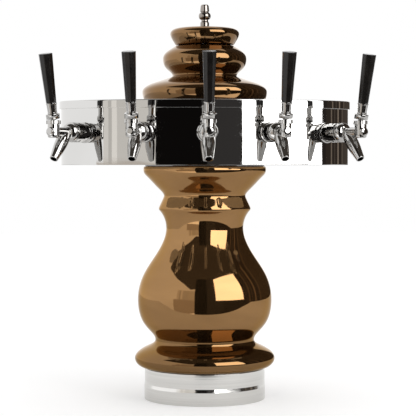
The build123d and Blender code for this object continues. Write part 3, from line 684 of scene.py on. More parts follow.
def glaze_finish(name, deep, pale, edge, coat):
    """Mirror-bright bronze glaze: thin and thick runs, the slow waves of thrown clay and fine pits."""
    glaze = Finish(name, metallic=0.96, coat=coat, coat_roughness=0.03)
    glaze.shader.inputs["Specular Tint"].default_value = (*edge, 1)
    glaze.tint(glaze.grain(7, stretch=(1, 1, 2.5), detail=4, distortion=0.6), deep, pale)
    glaze.polish(glaze.grain(45, detail=5), 0.035, 0.075)
    glaze.relief(glaze.grain(9, stretch=(1, 1, 2.2), detail=1), 0.0012)
    glaze.relief(glaze.grain(6, stretch=(0.5, 0.5, 18), detail=0), 0.00012)
    glaze.relief(glaze.grain(420, detail=2), 0.000004)
    return glaze


def lustre_glaze(colours):
    """The column's glaze, with painted shade that darkens it towards its foot."""
    glaze = glaze_finish("lustre glaze", colours.glaze_deep, colours.glaze, colours.glaze_edge, 0.1)
    ankle_z = foot_of("ceramic_column") + bpy.context.scene.column_sizes.ankle_height
    # painted shade: the glaze gets darker over the ankle and foot, where shade falls near the floor
    glaze.paint_shade_below(ankle_z + 0.008, ankle_z + 0.03, colours.pool)
    return glaze.material


def cap_glaze(colours):
    """The caps' glaze, which is a little darker under a thicker clear coat."""
    glaze = glaze_finish("cap glaze", colours.cap_glaze_deep, colours.cap_glaze, colours.cap_edge, 0.2)
    return glaze.material


def mirror_chrome(colours):
    """Chromed sheet: nearly flat, with slow ripples from rolling and faint wiping marks."""
    chrome = Finish("mirror chrome", metallic=1.0)
    chrome.tint(chrome.grain(5, detail=3), colours.chrome_worn, colours.chrome)
    chrome.polish(chrome.grain(14, stretch=(1, 1, 7), detail=6, distortion=0.4), 0.012, 0.05)
    chrome.relief(chrome.grain(9, stretch=(1, 1, 1.5), detail=1), 0.00028)
    chrome.relief(chrome.grain(700, stretch=(0.2, 0.2, 1), detail=2), 0.0000012)
    return chrome.material


def tap_chrome(colours):
    """Chrome plate on cast and turned brass: faint orange peel and fine wear."""
    chrome = Finish("tap chrome", metallic=1.0)
    chrome.tint(chrome.grain(60, detail=4), colours.tap_worn, colours.tap)
    chrome.polish(chrome.grain(140, detail=5), 0.02, 0.07)
    chrome.relief(chrome.grain(130, detail=1), 0.00002)
    chrome.relief(chrome.grain(900, detail=2), 0.0000015)
    return chrome.material


def finial_chrome(colours):
    """The finial's chrome, warmer and more worn than the taps'."""
    chrome = Finish("finial chrome", metallic=1.0)
    chrome.tint(chrome.grain(60, detail=4), colours.finial_worn, colours.finial)
    chrome.polish(chrome.grain(140, detail=5), 0.05, 0.12)
    chrome.relief(chrome.grain(130, detail=1), 0.00002)
    return chrome.material


def polished_ring(colours):
    """The base ring's metal, polished on the lathe, with fine lines that run round it."""
    ring = Finish("polished ring", metallic=1.0)
    ring.tint(ring.grain(40, stretch=(0.15, 0.15, 9), detail=6), colours.ring_line, colours.ring)
    ring.polish(ring.grain(55, stretch=(0.1, 0.1, 12), detail=6), 0.05, 0.14)
    ring.relief(ring.grain(120, stretch=(0.02, 0.02, 9), detail=4), 0.000006)
    return ring.material


def black_plastic(colours):
    """The handles' moulded black plastic, glossy with a faint grain and worn bloom."""
    plastic = Finish("black plastic", coat=0.12, coat_roughness=0.1)
    plastic.shader.inputs["Specular IOR Level"].default_value = 0.3
    plastic.tint(plastic.grain(70, detail=5), colours.grip, colours.grip_bloom, 0.35, 0.75)
    plastic.polish(plastic.grain(160, stretch=(1, 1, 0.3), detail=5), 0.2, 0.28)
    plastic.relief(plastic.grain(1500, detail=2), 0.000002)
    return plastic.material


def brushed_steel(colours):
    """Plain stainless steel with brushed lines."""
    steel = Finish("brushed steel", metallic=1.0)
    lines = steel.grain(90, stretch=(0.1, 0.1, 8), detail=6)
    steel.tint(lines, colours.steel_line, colours.steel)
    steel.polish(lines, 0.22, 0.42)
    steel.relief(lines, 0.00001)
    return steel.material


def seal_rubber(colours):
    """Black rubber with a pale bloom and a matt skin."""
    rubber = Finish("seal rubber")
    rubber.tint(rubber.grain(80, detail=5), colours.rubber, colours.rubber_bloom)
    rubber.polish(rubber.grain(200), 0.55, 0.8)
    rubber.relief(rubber.grain(900, detail=3), 0.00002)
    return rubber.material


def sleeve_foam(colours):
    """Closed-cell foam."""
    foam = Finish("sleeve foam")
    cells = foam.cells(260)
    foam.tint(cells, colours.foam_pore, colours.foam, 0.1, 0.6)
    foam.polish(foam.grain(120), 0.8, 0.98)
    foam.relief(cells, 0.0004)
    return foam.material


def clear_tube(colours):
    """Milky plastic tubing with faint draw lines."""
    tube = Finish("clear tube", coat=0.1)
    tube.tint(tube.grain(60, stretch=(1, 1, 0.2), detail=4), colours.tube_shade, colours.tube)
    tube.polish(tube.grain(150), 0.25, 0.4)
    tube.relief(tube.grain(500, stretch=(1, 1, 0.05)), 0.00001)
    return tube.material


MAKERS = {
    "ceramic": lustre_glaze,
    "cap": cap_glaze,
    "chrome": mirror_chrome,
    "tap_chrome": tap_chrome,
    "finial": finial_chrome,
    "ring": polished_ring,
    "grip": black_plastic,
    "steel": brushed_steel,
    "seal": seal_rubber,
    "foam": sleeve_foam,
    "tube": clear_tube,
}
finishes = {}


def finish(name):
    """One of the finishes, made on its first use."""
    if name not in finishes:
        finishes[name] = MAKERS[name](bpy.context.scene.tower_colours)
    return finishes[name]


# ---------------------------------------------------------------- operators: the studio

MIRROR_HEIGHT = 0.4  # the height that the mirrored panels' angles are measured from
ROOM_REACH = 3.6  # how far off the mirrored room's walls are
SENSOR_WIDTH = 36  # of the camera, in millimetres
VIEW_REACH = 50  # how far the camera sees
SOFTBOX = ((16.5, 67), (-0.3, 46), 3.0)  # turns from the front, angles above the level, distance
DARK_ROOM = (  # name, turns, angles, level, tint
    ("black_front", (-19.5, 2), (-48, 82), 0.006, (1, 0.85, 0.8)),
    ("dark_front", (2, 30), (-48, 82), 0.05, (1, 0.93, 0.9)),
    ("dark_right", (30, 72), (-48, 82), 0.03, (1, 0.8, 0.7)),
    ("dark_side", (72, 106), (-20, 70), 0.045, (1, 0.75, 0.6)),
    ("dark_back", (106, 160), (-20, 60), 0.08, (1, 0.8, 0.65)),
)
LIT_EDGES = (  # turns and level
    ((80, 82), 0.24),
    ((87, 88), 0.15),
    ((94, 97), 0.33),
    ((108, 110), 0.21),
)
CURTAIN_FOLDS = (  # turns and level
    ((-50, -46), 1.05),
    ((-46, -43.5), 0.8),
    ((-43.5, -40), 1.2),
    ((-40, -30), 0.9),
    ((-30, -19.5), 0.95),
)
EDGE_LIFTS, EDGE_REACH, EDGE_TINT = (-14, 40), 3.4, (1, 0.8, 0.62)
CURTAIN_LIFTS, CURTAIN_TINT = (0, 18), (1, 0.96, 0.9)
LEFT_ROOM = (  # name, turns, angles, level, tint
    ("low_left", (-56, -19.5), (-24, 0), 0.75, (1, 0.9, 0.8)),
    ("bright_left", (-90, -19.5), (-60, -24), 2.4, (1, 1, 1)),
)
CEILING = ((0, -3.6, 4.0), 8, 0.08, (1, 0.88, 0.75))  # place, width, level, tint


def light_level(name, colour, strength):
    """A material that only glows."""
    material = bpy.data.materials.new(name)
    material.use_nodes = True
    nodes, links = material.node_tree.nodes, material.node_tree.links
    nodes.clear()
    glow = nodes.new("ShaderNodeEmission")
    glow.inputs["Color"].default_value = (*colour, 1)
    glow.inputs["Strength"].default_value = strength
    links.new(glow.outputs["Emission"], nodes.new("ShaderNodeOutputMaterial").inputs["Surface"])
    return material


def glow_in_mirrors(panel, name, level, tint):
    """Makes a panel glow, seen by mirrors alone."""
    panel.data.materials.append(light_level(name, tint, level))
    panel.visible_camera = panel.visible_diffuse = panel.visible_shadow = False
    panel.visible_transmission = panel.visible_volume_scatter = False


def mirrored_panel(name, turns, lifts, distance, level, tint=(1, 1, 1)):
    """A panel that only mirrors show, between two turns from the front and two angles above the level."""
    turn, spread = radians(sum(turns) / 2), radians(turns[1] - turns[0]) / 2
    low, high = (MIRROR_HEIGHT + distance * tan(radians(lift)) for lift in lifts)
    bpy.ops.mesh.primitive_plane_add(size=1)
    panel = bpy.context.object
    panel.name = panel.data.name = name
    panel.scale = (2 * distance * tan(spread), high - low, 1)
    middle = (distance * sin(turn), -distance * cos(turn), (low + high) / 2)
    placed(panel, middle, (pi / 2, 0, turn))
    glow_in_mirrors(panel, name, level, tint)


def mirrored_ceiling(name, place, width, level, tint):
    """A level panel over the tower that only mirrors show."""
    bpy.ops.mesh.primitive_plane_add(size=width, location=place)
    panel = bpy.context.object
    panel.name = panel.data.name = name
    placed(panel, panel.location)
    glow_in_mirrors(panel, name, level, tint)


class TOWER_OT_studio(Operator):
    """The camera, the pale floor, the light and the panels that the metal mirrors"""

    bl_idname = "tower.studio"
    bl_label = "Studio"

    def execute(self, context):
        sizes = context.scene.studio_sizes
        self.make_camera(context, sizes)
        self.make_floor(sizes)
        self.make_world(context, sizes)
        self.make_lamp(sizes)
        self.make_panels(sizes)
        context.scene.view_settings.view_transform = "Standard"
        return {"FINISHED"}

    def make_camera(self, context, sizes):
        """The camera, nearly level with the header's foot, with a long lens."""
        turn = sizes.camera_turn
        place = (sizes.camera_distance * sin(turn), -sizes.camera_distance * cos(turn), sizes.camera_height)
        way = (pi / 2 - sizes.camera_pitch, 0, turn - sizes.camera_yaw)
        bpy.ops.object.camera_add(location=place, rotation=way)
        camera = context.object
        camera.data.lens = sizes.focal_length
        camera.data.sensor_width = SENSOR_WIDTH
        camera.data.clip_end = VIEW_REACH
        context.scene.camera = camera

    def make_floor(self, sizes):
        """A white floor, which stops short in front so that the dark room shows in the mirrors."""
        bpy.ops.mesh.primitive_plane_add(size=1)
        floor = bpy.context.object
        floor.name = floor.data.name = "floor"
        floor.scale = (2 * sizes.floor_reach, sizes.floor_reach + sizes.floor_front, 1)
        placed(floor, (0, (sizes.floor_reach - sizes.floor_front) / 2, -sizes.floor_gap))
        material = bpy.data.materials.new("white floor")
        material.use_nodes = True
        nodes, links = material.node_tree.nodes, material.node_tree.links
        shader = nodes["Principled BSDF"]
        shader.inputs["Roughness"].default_value = 0.9
        shader.inputs["Specular IOR Level"].default_value = 0.1
        shader.inputs["Emission Color"].default_value = (1, 1, 1, 1)
        path = nodes.new("ShaderNodeLightPath")
        seen = path.outputs["Is Camera Ray"]
        colours = nodes.new("ShaderNodeMix")
        colours.data_type = "RGBA"
        colours.inputs["A"].default_value = (*sizes.floor_shade, 1)
        colours.inputs["B"].default_value = (*sizes.floor_seen, 1)
        links.new(seen, colours.inputs["Factor"])
        links.new(colours.outputs["Result"], shader.inputs["Base Color"])
        lift = nodes.new("ShaderNodeMix")
        lift.inputs["B"].default_value = sizes.floor_lift
        links.new(seen, lift.inputs["Factor"])
        mirrored = nodes.new("ShaderNodeMath")
        mirrored.operation = "MULTIPLY"
        mirrored.inputs[1].default_value = sizes.floor_level
        links.new(path.outputs["Is Glossy Ray"], mirrored.inputs[0])
        links.new(mirrored.outputs["Value"], lift.inputs["A"])
        links.new(lift.outputs["Result"], shader.inputs["Emission Strength"])
        floor.data.materials.append(material)

    def make_world(self, context, sizes):
        """Soft light all round: white where the camera looks past the tower, and paler grey in mirrors."""
        world = bpy.data.worlds.new("studio")
        context.scene.world = world
        world.use_nodes = True
        nodes, links = world.node_tree.nodes, world.node_tree.links
        soft = nodes["Background"]
        soft.inputs["Color"].default_value = (1, 1, 1, 1)
        path = nodes.new("ShaderNodeLightPath")
        level = nodes.new("ShaderNodeMix")
        level.inputs["A"].default_value = 1.0
        level.inputs["B"].default_value = sizes.mirror_level
        links.new(path.outputs["Is Glossy Ray"], level.inputs["Factor"])
        links.new(level.outputs["Result"], soft.inputs["Strength"])

    def make_lamp(self, sizes):
        """One broad lamp at the upper right, which gives the black handles their sheen."""
        bpy.ops.object.light_add(type="AREA", location=sizes.lamp_place)
        lamp = bpy.context.object
        lamp.data.size = sizes.lamp_size
        lamp.data.energy = sizes.lamp_power
        way = Vector(sizes.lamp_aim) - lamp.location
        lamp.rotation_euler = way.to_track_quat("-Z", "Y").to_euler()
        lamp.visible_glossy = False
        lamp.visible_camera = False

    def make_panels(self, sizes):
        """The softbox, the dark room round it in front and to the right, and what is bright in it."""
        mirrored_panel("softbox", *SOFTBOX, sizes.softbox_level)
        for name, turns, lifts, level, tint in DARK_ROOM:
            mirrored_panel(name, turns, lifts, ROOM_REACH, level, tint)
        for turns, level in LIT_EDGES:
            mirrored_panel("lit_edge", turns, EDGE_LIFTS, EDGE_REACH, level, EDGE_TINT)
        for turns, level in CURTAIN_FOLDS:
            mirrored_panel("curtain", turns, CURTAIN_LIFTS, ROOM_REACH, level, CURTAIN_TINT)
        for name, turns, lifts, level, tint in LEFT_ROOM:
            mirrored_panel(name, turns, lifts, ROOM_REACH, level, tint)
        mirrored_ceiling("ceiling", *CEILING)


# ---------------------------------------------------------------- operators: base and column


class TOWER_OT_base_ring(Operator):
    """The polished ring that the column stands on"""

    bl_idname = "tower.base_ring"
    bl_label = "Base ring"

    def execute(self, context):
        sizes = context.scene.base_ring_sizes
        inner, lip = sizes.radius - sizes.wall, sizes.radius - sizes.lip_width
        upper = sizes.radius - sizes.step
        outline = [
            (sizes.radius, sizes.height / 4),
            (sizes.radius, sizes.step_foot),
            (upper, sizes.step_foot + sizes.step_height),
            (upper, sizes.height),
            (lip, sizes.height),
            (lip, sizes.height - sizes.lip_thickness),
            (inner, sizes.height - sizes.lip_thickness),
            (inner, 0),
            (sizes.radius, 0),
            (sizes.radius, sizes.height / 5),
        ]
        ring = turned("polished_base_ring", rounded(outline, sizes.edge), 2 * ROUND_SIDES, closed=True)
        dress(ring, "tower", "chrome", "base_ring", look="ring")
        return {"FINISHED"}


class TOWER_OT_column(Operator):
    """The glazed ceramic column"""

    bl_idname = "tower.column"
    bl_label = "Ceramic column"

    # Places on the outline, as shares of the way out and up between two of its main points
    cove = (0.44, 0.38)  # from ankle to foot
    lower_sides = ((0.2, 0.16), (0.72, 0.44))  # from ankle to belly
    upper_sides = ((0.84, 0.69), (0.32, 0.35))  # from waist to belly
    bowls = ((0.305, 0.25), (0.83, 0.64))  # from throat to crown

    def execute(self, context):
        sizes = context.scene.column_sizes
        foot_z, top_z = foot_of("ceramic_column"), top_of("ceramic_column")
        foot = (sizes.foot, foot_z + sizes.foot_height)
        ankle = (sizes.ankle, foot_z + sizes.ankle_height)
        belly = (sizes.belly, foot_z + sizes.belly_height)
        waist = (sizes.waist, top_z - sizes.waist_drop)
        ridge = (sizes.ridge, top_z - sizes.ridge_drop)
        throat = (sizes.throat, top_z - sizes.throat_drop)
        crown = (sizes.crown, top_z - sizes.crown_drop)
        cove = between(ankle, foot, self.cove)
        lower_sides = [between(ankle, belly, shares) for shares in self.lower_sides]
        upper_sides = [between(waist, belly, shares) for shares in self.upper_sides]
        bowls = [between(throat, (sizes.crown, top_z), shares) for shares in self.bowls]
        outline = Outline([(sizes.foot_edge, foot_z)])
        outline.curve(foot, leave=(1, 0.15), arrive=UP)
        outline.curve(cove, leave=UP, arrive=(-1, 0.5))
        outline.curve(ankle, leave=(-1, 0.5), arrive=UP)
        outline.curve(*lower_sides, belly, leave=UP, arrive=UP)
        outline.curve(*upper_sides, waist, leave=UP, arrive=UP)
        outline.curve(ridge, leave=UP, arrive=(1, 0.9))
        outline.curve(throat, leave=(-10.6, 23), arrive=(-10.6, 23))
        outline.curve(*bowls, crown, leave=(0.5, 1), arrive=UP)
        outline.curve((sizes.crown - sizes.crown_roll, top_z), leave=UP, arrive=(-0.5, 1))
        outline.to((sizes.crown - sizes.crown_lip, top_z))
        directions = [DOWN, (-0.1, -1), DOWN, DOWN, DOWN, (0.2, -1)]
        inner = [(radius - sizes.wall, height) for radius, height in (throat, waist, belly, ankle)]
        inner.append((sizes.foot_bore, foot_z))
        for point, leave, arrive in zip(inner, directions, directions[1:]):
            outline.curve(point, leave=leave, arrive=arrive, spacing=0.012)
        column = turned("glazed_column", outline, ROUND_SIDES, closed=True)
        softened(column)
        dress(column, "tower", "ceramic", "ceramic_column")
        return {"FINISHED"}


# ---------------------------------------------------------------- operators: header, caps and finial


class TOWER_OT_header(Operator):
    """The header's oval wall and its lid"""

    bl_idname = "tower.header"
    bl_label = "Oval header"

    def execute(self, context):
        sizes = context.scene.header_sizes
        self.wide, self.deep = half_width("header_shell"), half_depth("header_shell")
        self.make_wall(sizes)
        self.make_lid(sizes, context.scene.cap_sizes.rod_hole)
        return {"FINISHED"}

    def rings(self, outline):
        """The oval rings for an outline of (distance outside the header's face, height)."""
        return [(self.wide + out, self.deep + out, height) for out, height in outline]

    def make_wall(self, sizes):
        """The wall, with a hole for each shank."""
        floor_z, top_z = foot_of("header_shell"), top_of("header_shell")
        middle_z = (floor_z + top_z) / 2
        fold = [(0, middle_z), (0, top_z), (-sizes.sheet, top_z), (-sizes.sheet, middle_z)]
        hem = [
            (-sizes.sheet, middle_z - sizes.hem),
            (-sizes.sheet, floor_z),
            (0, floor_z),
            (0, middle_z - sizes.hem),
        ]
        rings = self.rings(rounded(fold, sizes.fold) + rounded(hem, sizes.hem))
        wall = stack("header_wall", rings, OVAL_SIDES, closed=True)
        for tap in TAP_NUMBERS:
            cut(wall, at_tap(placed(drill(-PAST, (sizes.shank_hole, PAST)), turn=FACING_OUT), tap))
        crisp(wall)
        dress(wall, "tower", "chrome", "header_shell")

    def make_lid(self, sizes, hole):
        """The lid: a flat top with a hole for the rod, and a skirt that hangs over the wall."""
        top_z = top_of("header_lid")
        skirt_z, under_z = top_z - sizes.skirt, top_z - sizes.sheet
        seam_z = top_z - sizes.skirt / 2
        over = half_width("header_lid") - self.wide
        outer = [(over, seam_z), (over, top_z), (-sizes.flat, top_z)]
        inner = [
            (-sizes.flat, under_z),
            (sizes.fit, under_z),
            (sizes.fit, skirt_z),
            (over, skirt_z),
            (over, seam_z - sizes.fold),
        ]
        rings = self.rings(rounded(outer, sizes.edge))
        rings += [(hole, hole, top_z), (hole, hole, under_z)]
        rings += self.rings(rounded(inner, sizes.fold))
        lid = stack("header_lid_band", rings, OVAL_SIDES, closed=True)
        dress(lid, "tower", "chrome", "header_lid")


class TOWER_OT_caps(Operator):
    """The two glazed ceramic caps"""

    bl_idname = "tower.caps"
    bl_label = "Ceramic caps"

    # Places on the outlines, as shares of the way out and up between two of their main points
    shoulder = (0.32, 0.58)  # from brim to cone
    swells = ((0.48, 0.34), (0.85, 0.58))  # from neck to lobe
    bends = ((0.93, 0.62), (0.76, 0.88))  # from the axis beside the crest to the top over the crest
    under_neck, under_cone = 0.75, 1.1  # how far down the inner side is there, as shares of the wall

    def execute(self, context):
        sizes = context.scene.cap_sizes
        rim = context.scene.finial_sizes.foot + sizes.rim_gap
        for name, outline, node in (
            ("glazed_lower_cap", self.lower_outline(sizes), "lower_cap"),
            ("glazed_upper_cap", self.upper_outline(sizes, rim), "upper_cap"),
        ):
            cap = turned(name, outline, ROUND_SIDES, closed=True)
            softened(cap)
            dress(cap, "tower", "ceramic", node, look="cap")
        return {"FINISHED"}

    def lower_outline(self, sizes):
        """The lower cap: brim, cone, neck and lobe."""
        wall, foot_z, top_z = sizes.wall, foot_of("lower_cap"), top_of("lower_cap")
        brim, cone = (sizes.brim, foot_z + sizes.brim_height), (sizes.cone, foot_z + sizes.cone_height)
        neck, lobe = (sizes.neck, foot_z + sizes.neck_height), (sizes.lobe, foot_z + sizes.lobe_height)
        fall = (neck[0] - cone[0], neck[1] - cone[1])
        swells = [between(neck, lobe, shares) for shares in self.swells]
        outline = Outline([(sizes.foot, foot_z)])
        outline.curve(brim, leave=(0.6, 1), arrive=UP, spacing=0.003)
        outline.curve(between(brim, cone, self.shoulder), cone, leave=UP, arrive=fall, spacing=0.004)
        outline.curve(neck, leave=fall, arrive=fall, spacing=0.006)
        outline.curve(*swells, lobe, leave=UP, arrive=UP, spacing=0.003)
        outline.curve((sizes.seat, top_z), leave=UP, arrive=(-1, 0.7), spacing=0.004)
        outline.to((sizes.seat / 2, top_z), (sizes.rod_hole, top_z))
        outline.to((sizes.rod_hole, top_z - wall), (sizes.seat - wall, top_z - wall))
        outline.curve((lobe[0] - wall, lobe[1]), leave=(1, -0.7), arrive=DOWN, spacing=0.01)
        inner_neck = (neck[0] - wall, neck[1] - self.under_neck * wall)
        outline.curve(inner_neck, leave=DOWN, arrive=DOWN, spacing=0.01)
        outline.to((cone[0], cone[1] - self.under_cone * wall))
        inner_brim, inner_foot = (brim[0] - wall, brim[1]), (sizes.foot - wall, foot_z)
        outline.curve(inner_brim, inner_foot, leave=(1, -0.3), arrive=(-0.6, -1), spacing=0.008)
        return outline

    def upper_outline(self, sizes, rim):
        """The upper cap: one lobe with a flattened top."""
        wall, foot_z, top_z = sizes.wall, foot_of("upper_cap"), top_of("upper_cap")
        crest = (sizes.crest, foot_z + sizes.crest_height)
        bends = [between((0, crest[1]), (crest[0], top_z), shares) for shares in self.bends]
        outline = Outline([(sizes.seat, foot_z)])
        outline.curve(crest, leave=(0.5, 1), arrive=UP, spacing=0.003)
        outline.curve(*bends, (rim, top_z), leave=UP, arrive=(-1, 0), spacing=0.003)
        outline.to((sizes.rod_hole, top_z), (sizes.rod_hole, top_z - wall))
        outline.curve((crest[0] - wall, crest[1] - wall / 2), leave=(1, 0), arrive=(0.2, -1), spacing=0.01)
        outline.curve((sizes.seat - wall, foot_z), leave=(0.2, -1), arrive=(-0.5, -1), spacing=0.01)
        return outline


class TOWER_OT_finial(Operator):
    """The turned finial"""

    bl_idname = "tower.finial"
    bl_label = "Finial"

    # Where the parts of the outline start and end, as shares of the finial's height
    foot_end, neck_start, neck_end = 0.22, 0.28, 0.34
    bead_start, bead_middle, bead_end = 0.36, 0.50, 0.65
    groove_start, groove_end = 0.67, 0.69
    crown_start, crown_end = 0.71, 0.96

    def execute(self, context):
        sizes = context.scene.finial_sizes
        foot_z, top_z = foot_of("finial"), top_of("finial")

        def at(radius, share):
            """A point at a share of the finial's height."""
            return (radius, foot_z + share * (top_z - foot_z))

        bore_z = foot_z + sizes.rod_depth
        lower = [
            (POLE, bore_z),
            (sizes.rod, bore_z),
            (sizes.rod, foot_z),
            (sizes.foot, foot_z),
            at(sizes.foot, self.foot_end),
            at(sizes.neck, self.neck_start),
            at(sizes.neck, self.neck_end),
            at(sizes.bead_edge, self.bead_start),
        ]
        outline = Outline(rounded(lower, sizes.edge))
        bead = [at(sizes.bead, self.bead_middle), at(sizes.bead_edge, self.bead_end)]
        outline.curve(*bead, leave=(1, 0.6), arrive=(-1, 0.6), spacing=0.001)
        upper = [
            outline[-1],
            at(sizes.groove, self.groove_start),
            at(sizes.groove, self.groove_end),
            at(sizes.crown, self.crown_start),
            at(sizes.crown_top, self.crown_end),
            (sizes.crown_top - sizes.crown_edge, top_z),
            (POLE, top_z),
        ]
        outline += rounded(upper, sizes.edge)[1:]
        dress(turned("turned_finial", outline), "tower", "chrome", "finial", look="finial")
        return {"FINISHED"}


# ---------------------------------------------------------------- operators: taps


class TOWER_OT_wall_plates(Operator):
    """The round wall plates behind the taps"""

    bl_idname = "tower.wall_plates"
    bl_label = "Wall plates"

    rim_share, face_share = 0.6, 0.9  # of the thickness and of the radius that the bevel leaves

    def execute(self, context):
        sizes = context.scene.tap_sizes
        face, back = sizes.plate_thickness, -sizes.plate_sink
        seam = sizes.plate - 4 * sizes.edge
        outline = [
            (seam, back),
            (sizes.plate, back),
            (sizes.plate, self.rim_share * face),
            (self.face_share * sizes.plate, face),
            (sizes.shank, face),
            (sizes.shank, back),
            (seam - sizes.edge, back),
        ]
        plate = turned("plate", rounded(outline, sizes.edge), closed=True)
        placed(plate, turn=FACING_OUT)
        dress_group_at_taps(plate, "wall_plates", "tap_chrome", "escutcheons")
        return {"FINISHED"}


class TOWER_OT_coupling_nuts(Operator):
    """The coupling nuts with their spanner holes"""

    bl_idname = "tower.coupling_nuts"
    bl_label = "Coupling nuts"

    def execute(self, context):
        sizes = context.scene.tap_sizes
        middle = (sizes.nut_start + sizes.nut_end) / 2
        lip = sizes.nut_end - sizes.nut_lip
        throat = sizes.tail + CLEARANCE
        outline = [
            (sizes.nut, middle),
            (sizes.nut, sizes.nut_end),
            (throat, sizes.nut_end),
            (throat, lip),
            (sizes.nut_bore, lip),
            (sizes.nut_bore, sizes.nut_start),
            (sizes.nut, sizes.nut_start),
            (sizes.nut, middle - 2 * sizes.edge),
        ]
        nut = turned("nut", rounded(outline, 1.6 * sizes.edge), closed=True)
        for number in range(sizes.hole_count):
            hole = drill(sizes.nut - sizes.hole_depth, (sizes.hole, 2 * sizes.nut), sides=SMALL_SIDES)
            cut(nut, placed(hole, (0, 0, middle), (0, pi / 2, 2 * pi * number / sizes.hole_count)))
        crisp(nut)
        placed(nut, turn=FACING_OUT)
        dress_group_at_taps(nut, "spanner_nuts", "tap_chrome", "coupling_nuts")
        return {"FINISHED"}


class TOWER_OT_tap_bodies(Operator):
    """The tap bodies: barrel, tower, front boss and leaning spout, cast in one"""

    bl_idname = "tower.tap_bodies"
    bl_label = "Tap bodies"

    def execute(self, context):
        sizes = context.scene.tap_sizes
        self.spout_length = sizes.spout_drop / cos(sizes.spout_lean)
        body = self.make_form(sizes)
        self.cut_bores(sizes, body)
        crisp(body)
        dress_at_taps(body, "faucet", "tower", "tap_chrome", "tap_body")
        return {"FINISHED"}

    def make_form(self, sizes):
        """The body's outer form: turned pieces that are melted together, which rounds where they meet."""
        form = joined(*(make(sizes) for make in (self.barrel, self.tower, self.roundel, self.spout)))
        modify(form, "REMESH", mode="VOXEL", voxel_size=sizes.melt, use_smooth_shade=True)
        modify(form, "SMOOTH", factor=0.5, iterations=sizes.melt_passes)
        return form

    def barrel(self, sizes):
        """The tail in the nut, the shoulder with its dome, and the barrel."""
        end, face = sizes.nut_end - sizes.tail_length, sizes.nut_end + CLEARANCE
        dome_out = face + sizes.shoulder_length
        tail = [(POLE, end), (sizes.tail, end), (sizes.tail, face), (sizes.shoulder, face)]
        outline = Outline(rounded([*tail, (sizes.shoulder, dome_out)], 1.4 * sizes.edge))
        dome_end = (sizes.barrel, dome_out + sizes.dome)
        outline.curve(dome_end, leave=(-0.1, 1), arrive=(-1, 0.2), spacing=0.001)
        outline.to((sizes.barrel, sizes.pivot_out), (POLE, sizes.pivot_out))
        return placed(turned("body", outline), turn=FACING_OUT)

    def tower(self, sizes):
        """The upright part that holds the lever's ball."""
        foot = [(POLE, -sizes.tower_bottom), (sizes.tower, -sizes.tower_bottom), (sizes.tower, 0)]
        head = [(sizes.tower, 2 * sizes.edge), (sizes.tower, sizes.tower_top), (POLE, sizes.tower_top)]
        outline = rounded(foot, sizes.tower_edge) + rounded(head, sizes.edge)
        return placed(turned("tower", outline), (0, -sizes.pivot_out, 0))

    def roundel(self, sizes):
        """The round boss in front."""
        front = sizes.pivot_out + sizes.roundel_reach
        outline = [
            (POLE, sizes.pivot_out),
            (sizes.roundel, sizes.pivot_out),
            (sizes.roundel, front - 2 * sizes.edge),
            (sizes.roundel_face * sizes.roundel, front),
            (POLE, front),
        ]
        return placed(turned("roundel", rounded(outline, sizes.edge)), turn=FACING_OUT)

    def spout(self, sizes):
        """The leaning spout, with its swell and its flat tip."""
        run = self.spout_length
        swell = (sizes.spout_swell, sizes.spout_swell_at * run)
        side_end = (sizes.spout_tip, run - 2 * sizes.edge)
        outline = Outline([(POLE, 0)])
        outline.to((sizes.spout_root, 0))
        outline.curve(swell, side_end, leave=(0.35, 1), arrive=(-0.12, 1), spacing=0.002)
        outline += rounded([outline[-1], (sizes.spout_tip, run), (POLE, run)], sizes.edge)[1:]
        return self.along_spout(sizes, turned("spout", outline))

    def along_spout(self, sizes, piece):
        """Puts a turned piece on the spout's own axis, which starts on the barrel's axis."""
        root_out = sizes.pivot_out - sizes.spout_drop * tan(sizes.spout_lean)
        return placed(piece, (0, -root_out, 0), (pi - sizes.spout_lean, 0, 0))

    def cut_bores(self, sizes, body):
        """The spout's bore, the chamber, the stem's bore, the ball's socket and the finger's slot."""
        run = self.spout_length
        bore = drill(0, (sizes.spout_throat, run - sizes.bore_depth), (sizes.spout_bore, run + PAST))
        self.along_spout(sizes, bore)
        inside = drill(sizes.nut_end - PAST, (sizes.chamber, sizes.seat_out), (sizes.bore, sizes.bore_end))
        placed(inside, turn=FACING_OUT)
        pivot = Vector((0, -sizes.pivot_out, sizes.pivot_height))
        bpy.ops.mesh.primitive_uv_sphere_add(radius=sizes.socket, location=pivot)
        socket = bpy.context.object
        settle(socket)
        mouth = placed(drill(0, (sizes.socket, PAST)), pivot)
        slot_middle = sizes.slot_length / 2 - sizes.slot_front - sizes.pivot_out
        slot_size = (2 * sizes.finger_slot, sizes.slot_length, sizes.pivot_height)
        slot = cutting_box(slot_size, (0, slot_middle, sizes.pivot_height / 2))
        cut(body, bore, inside, socket, mouth, slot)


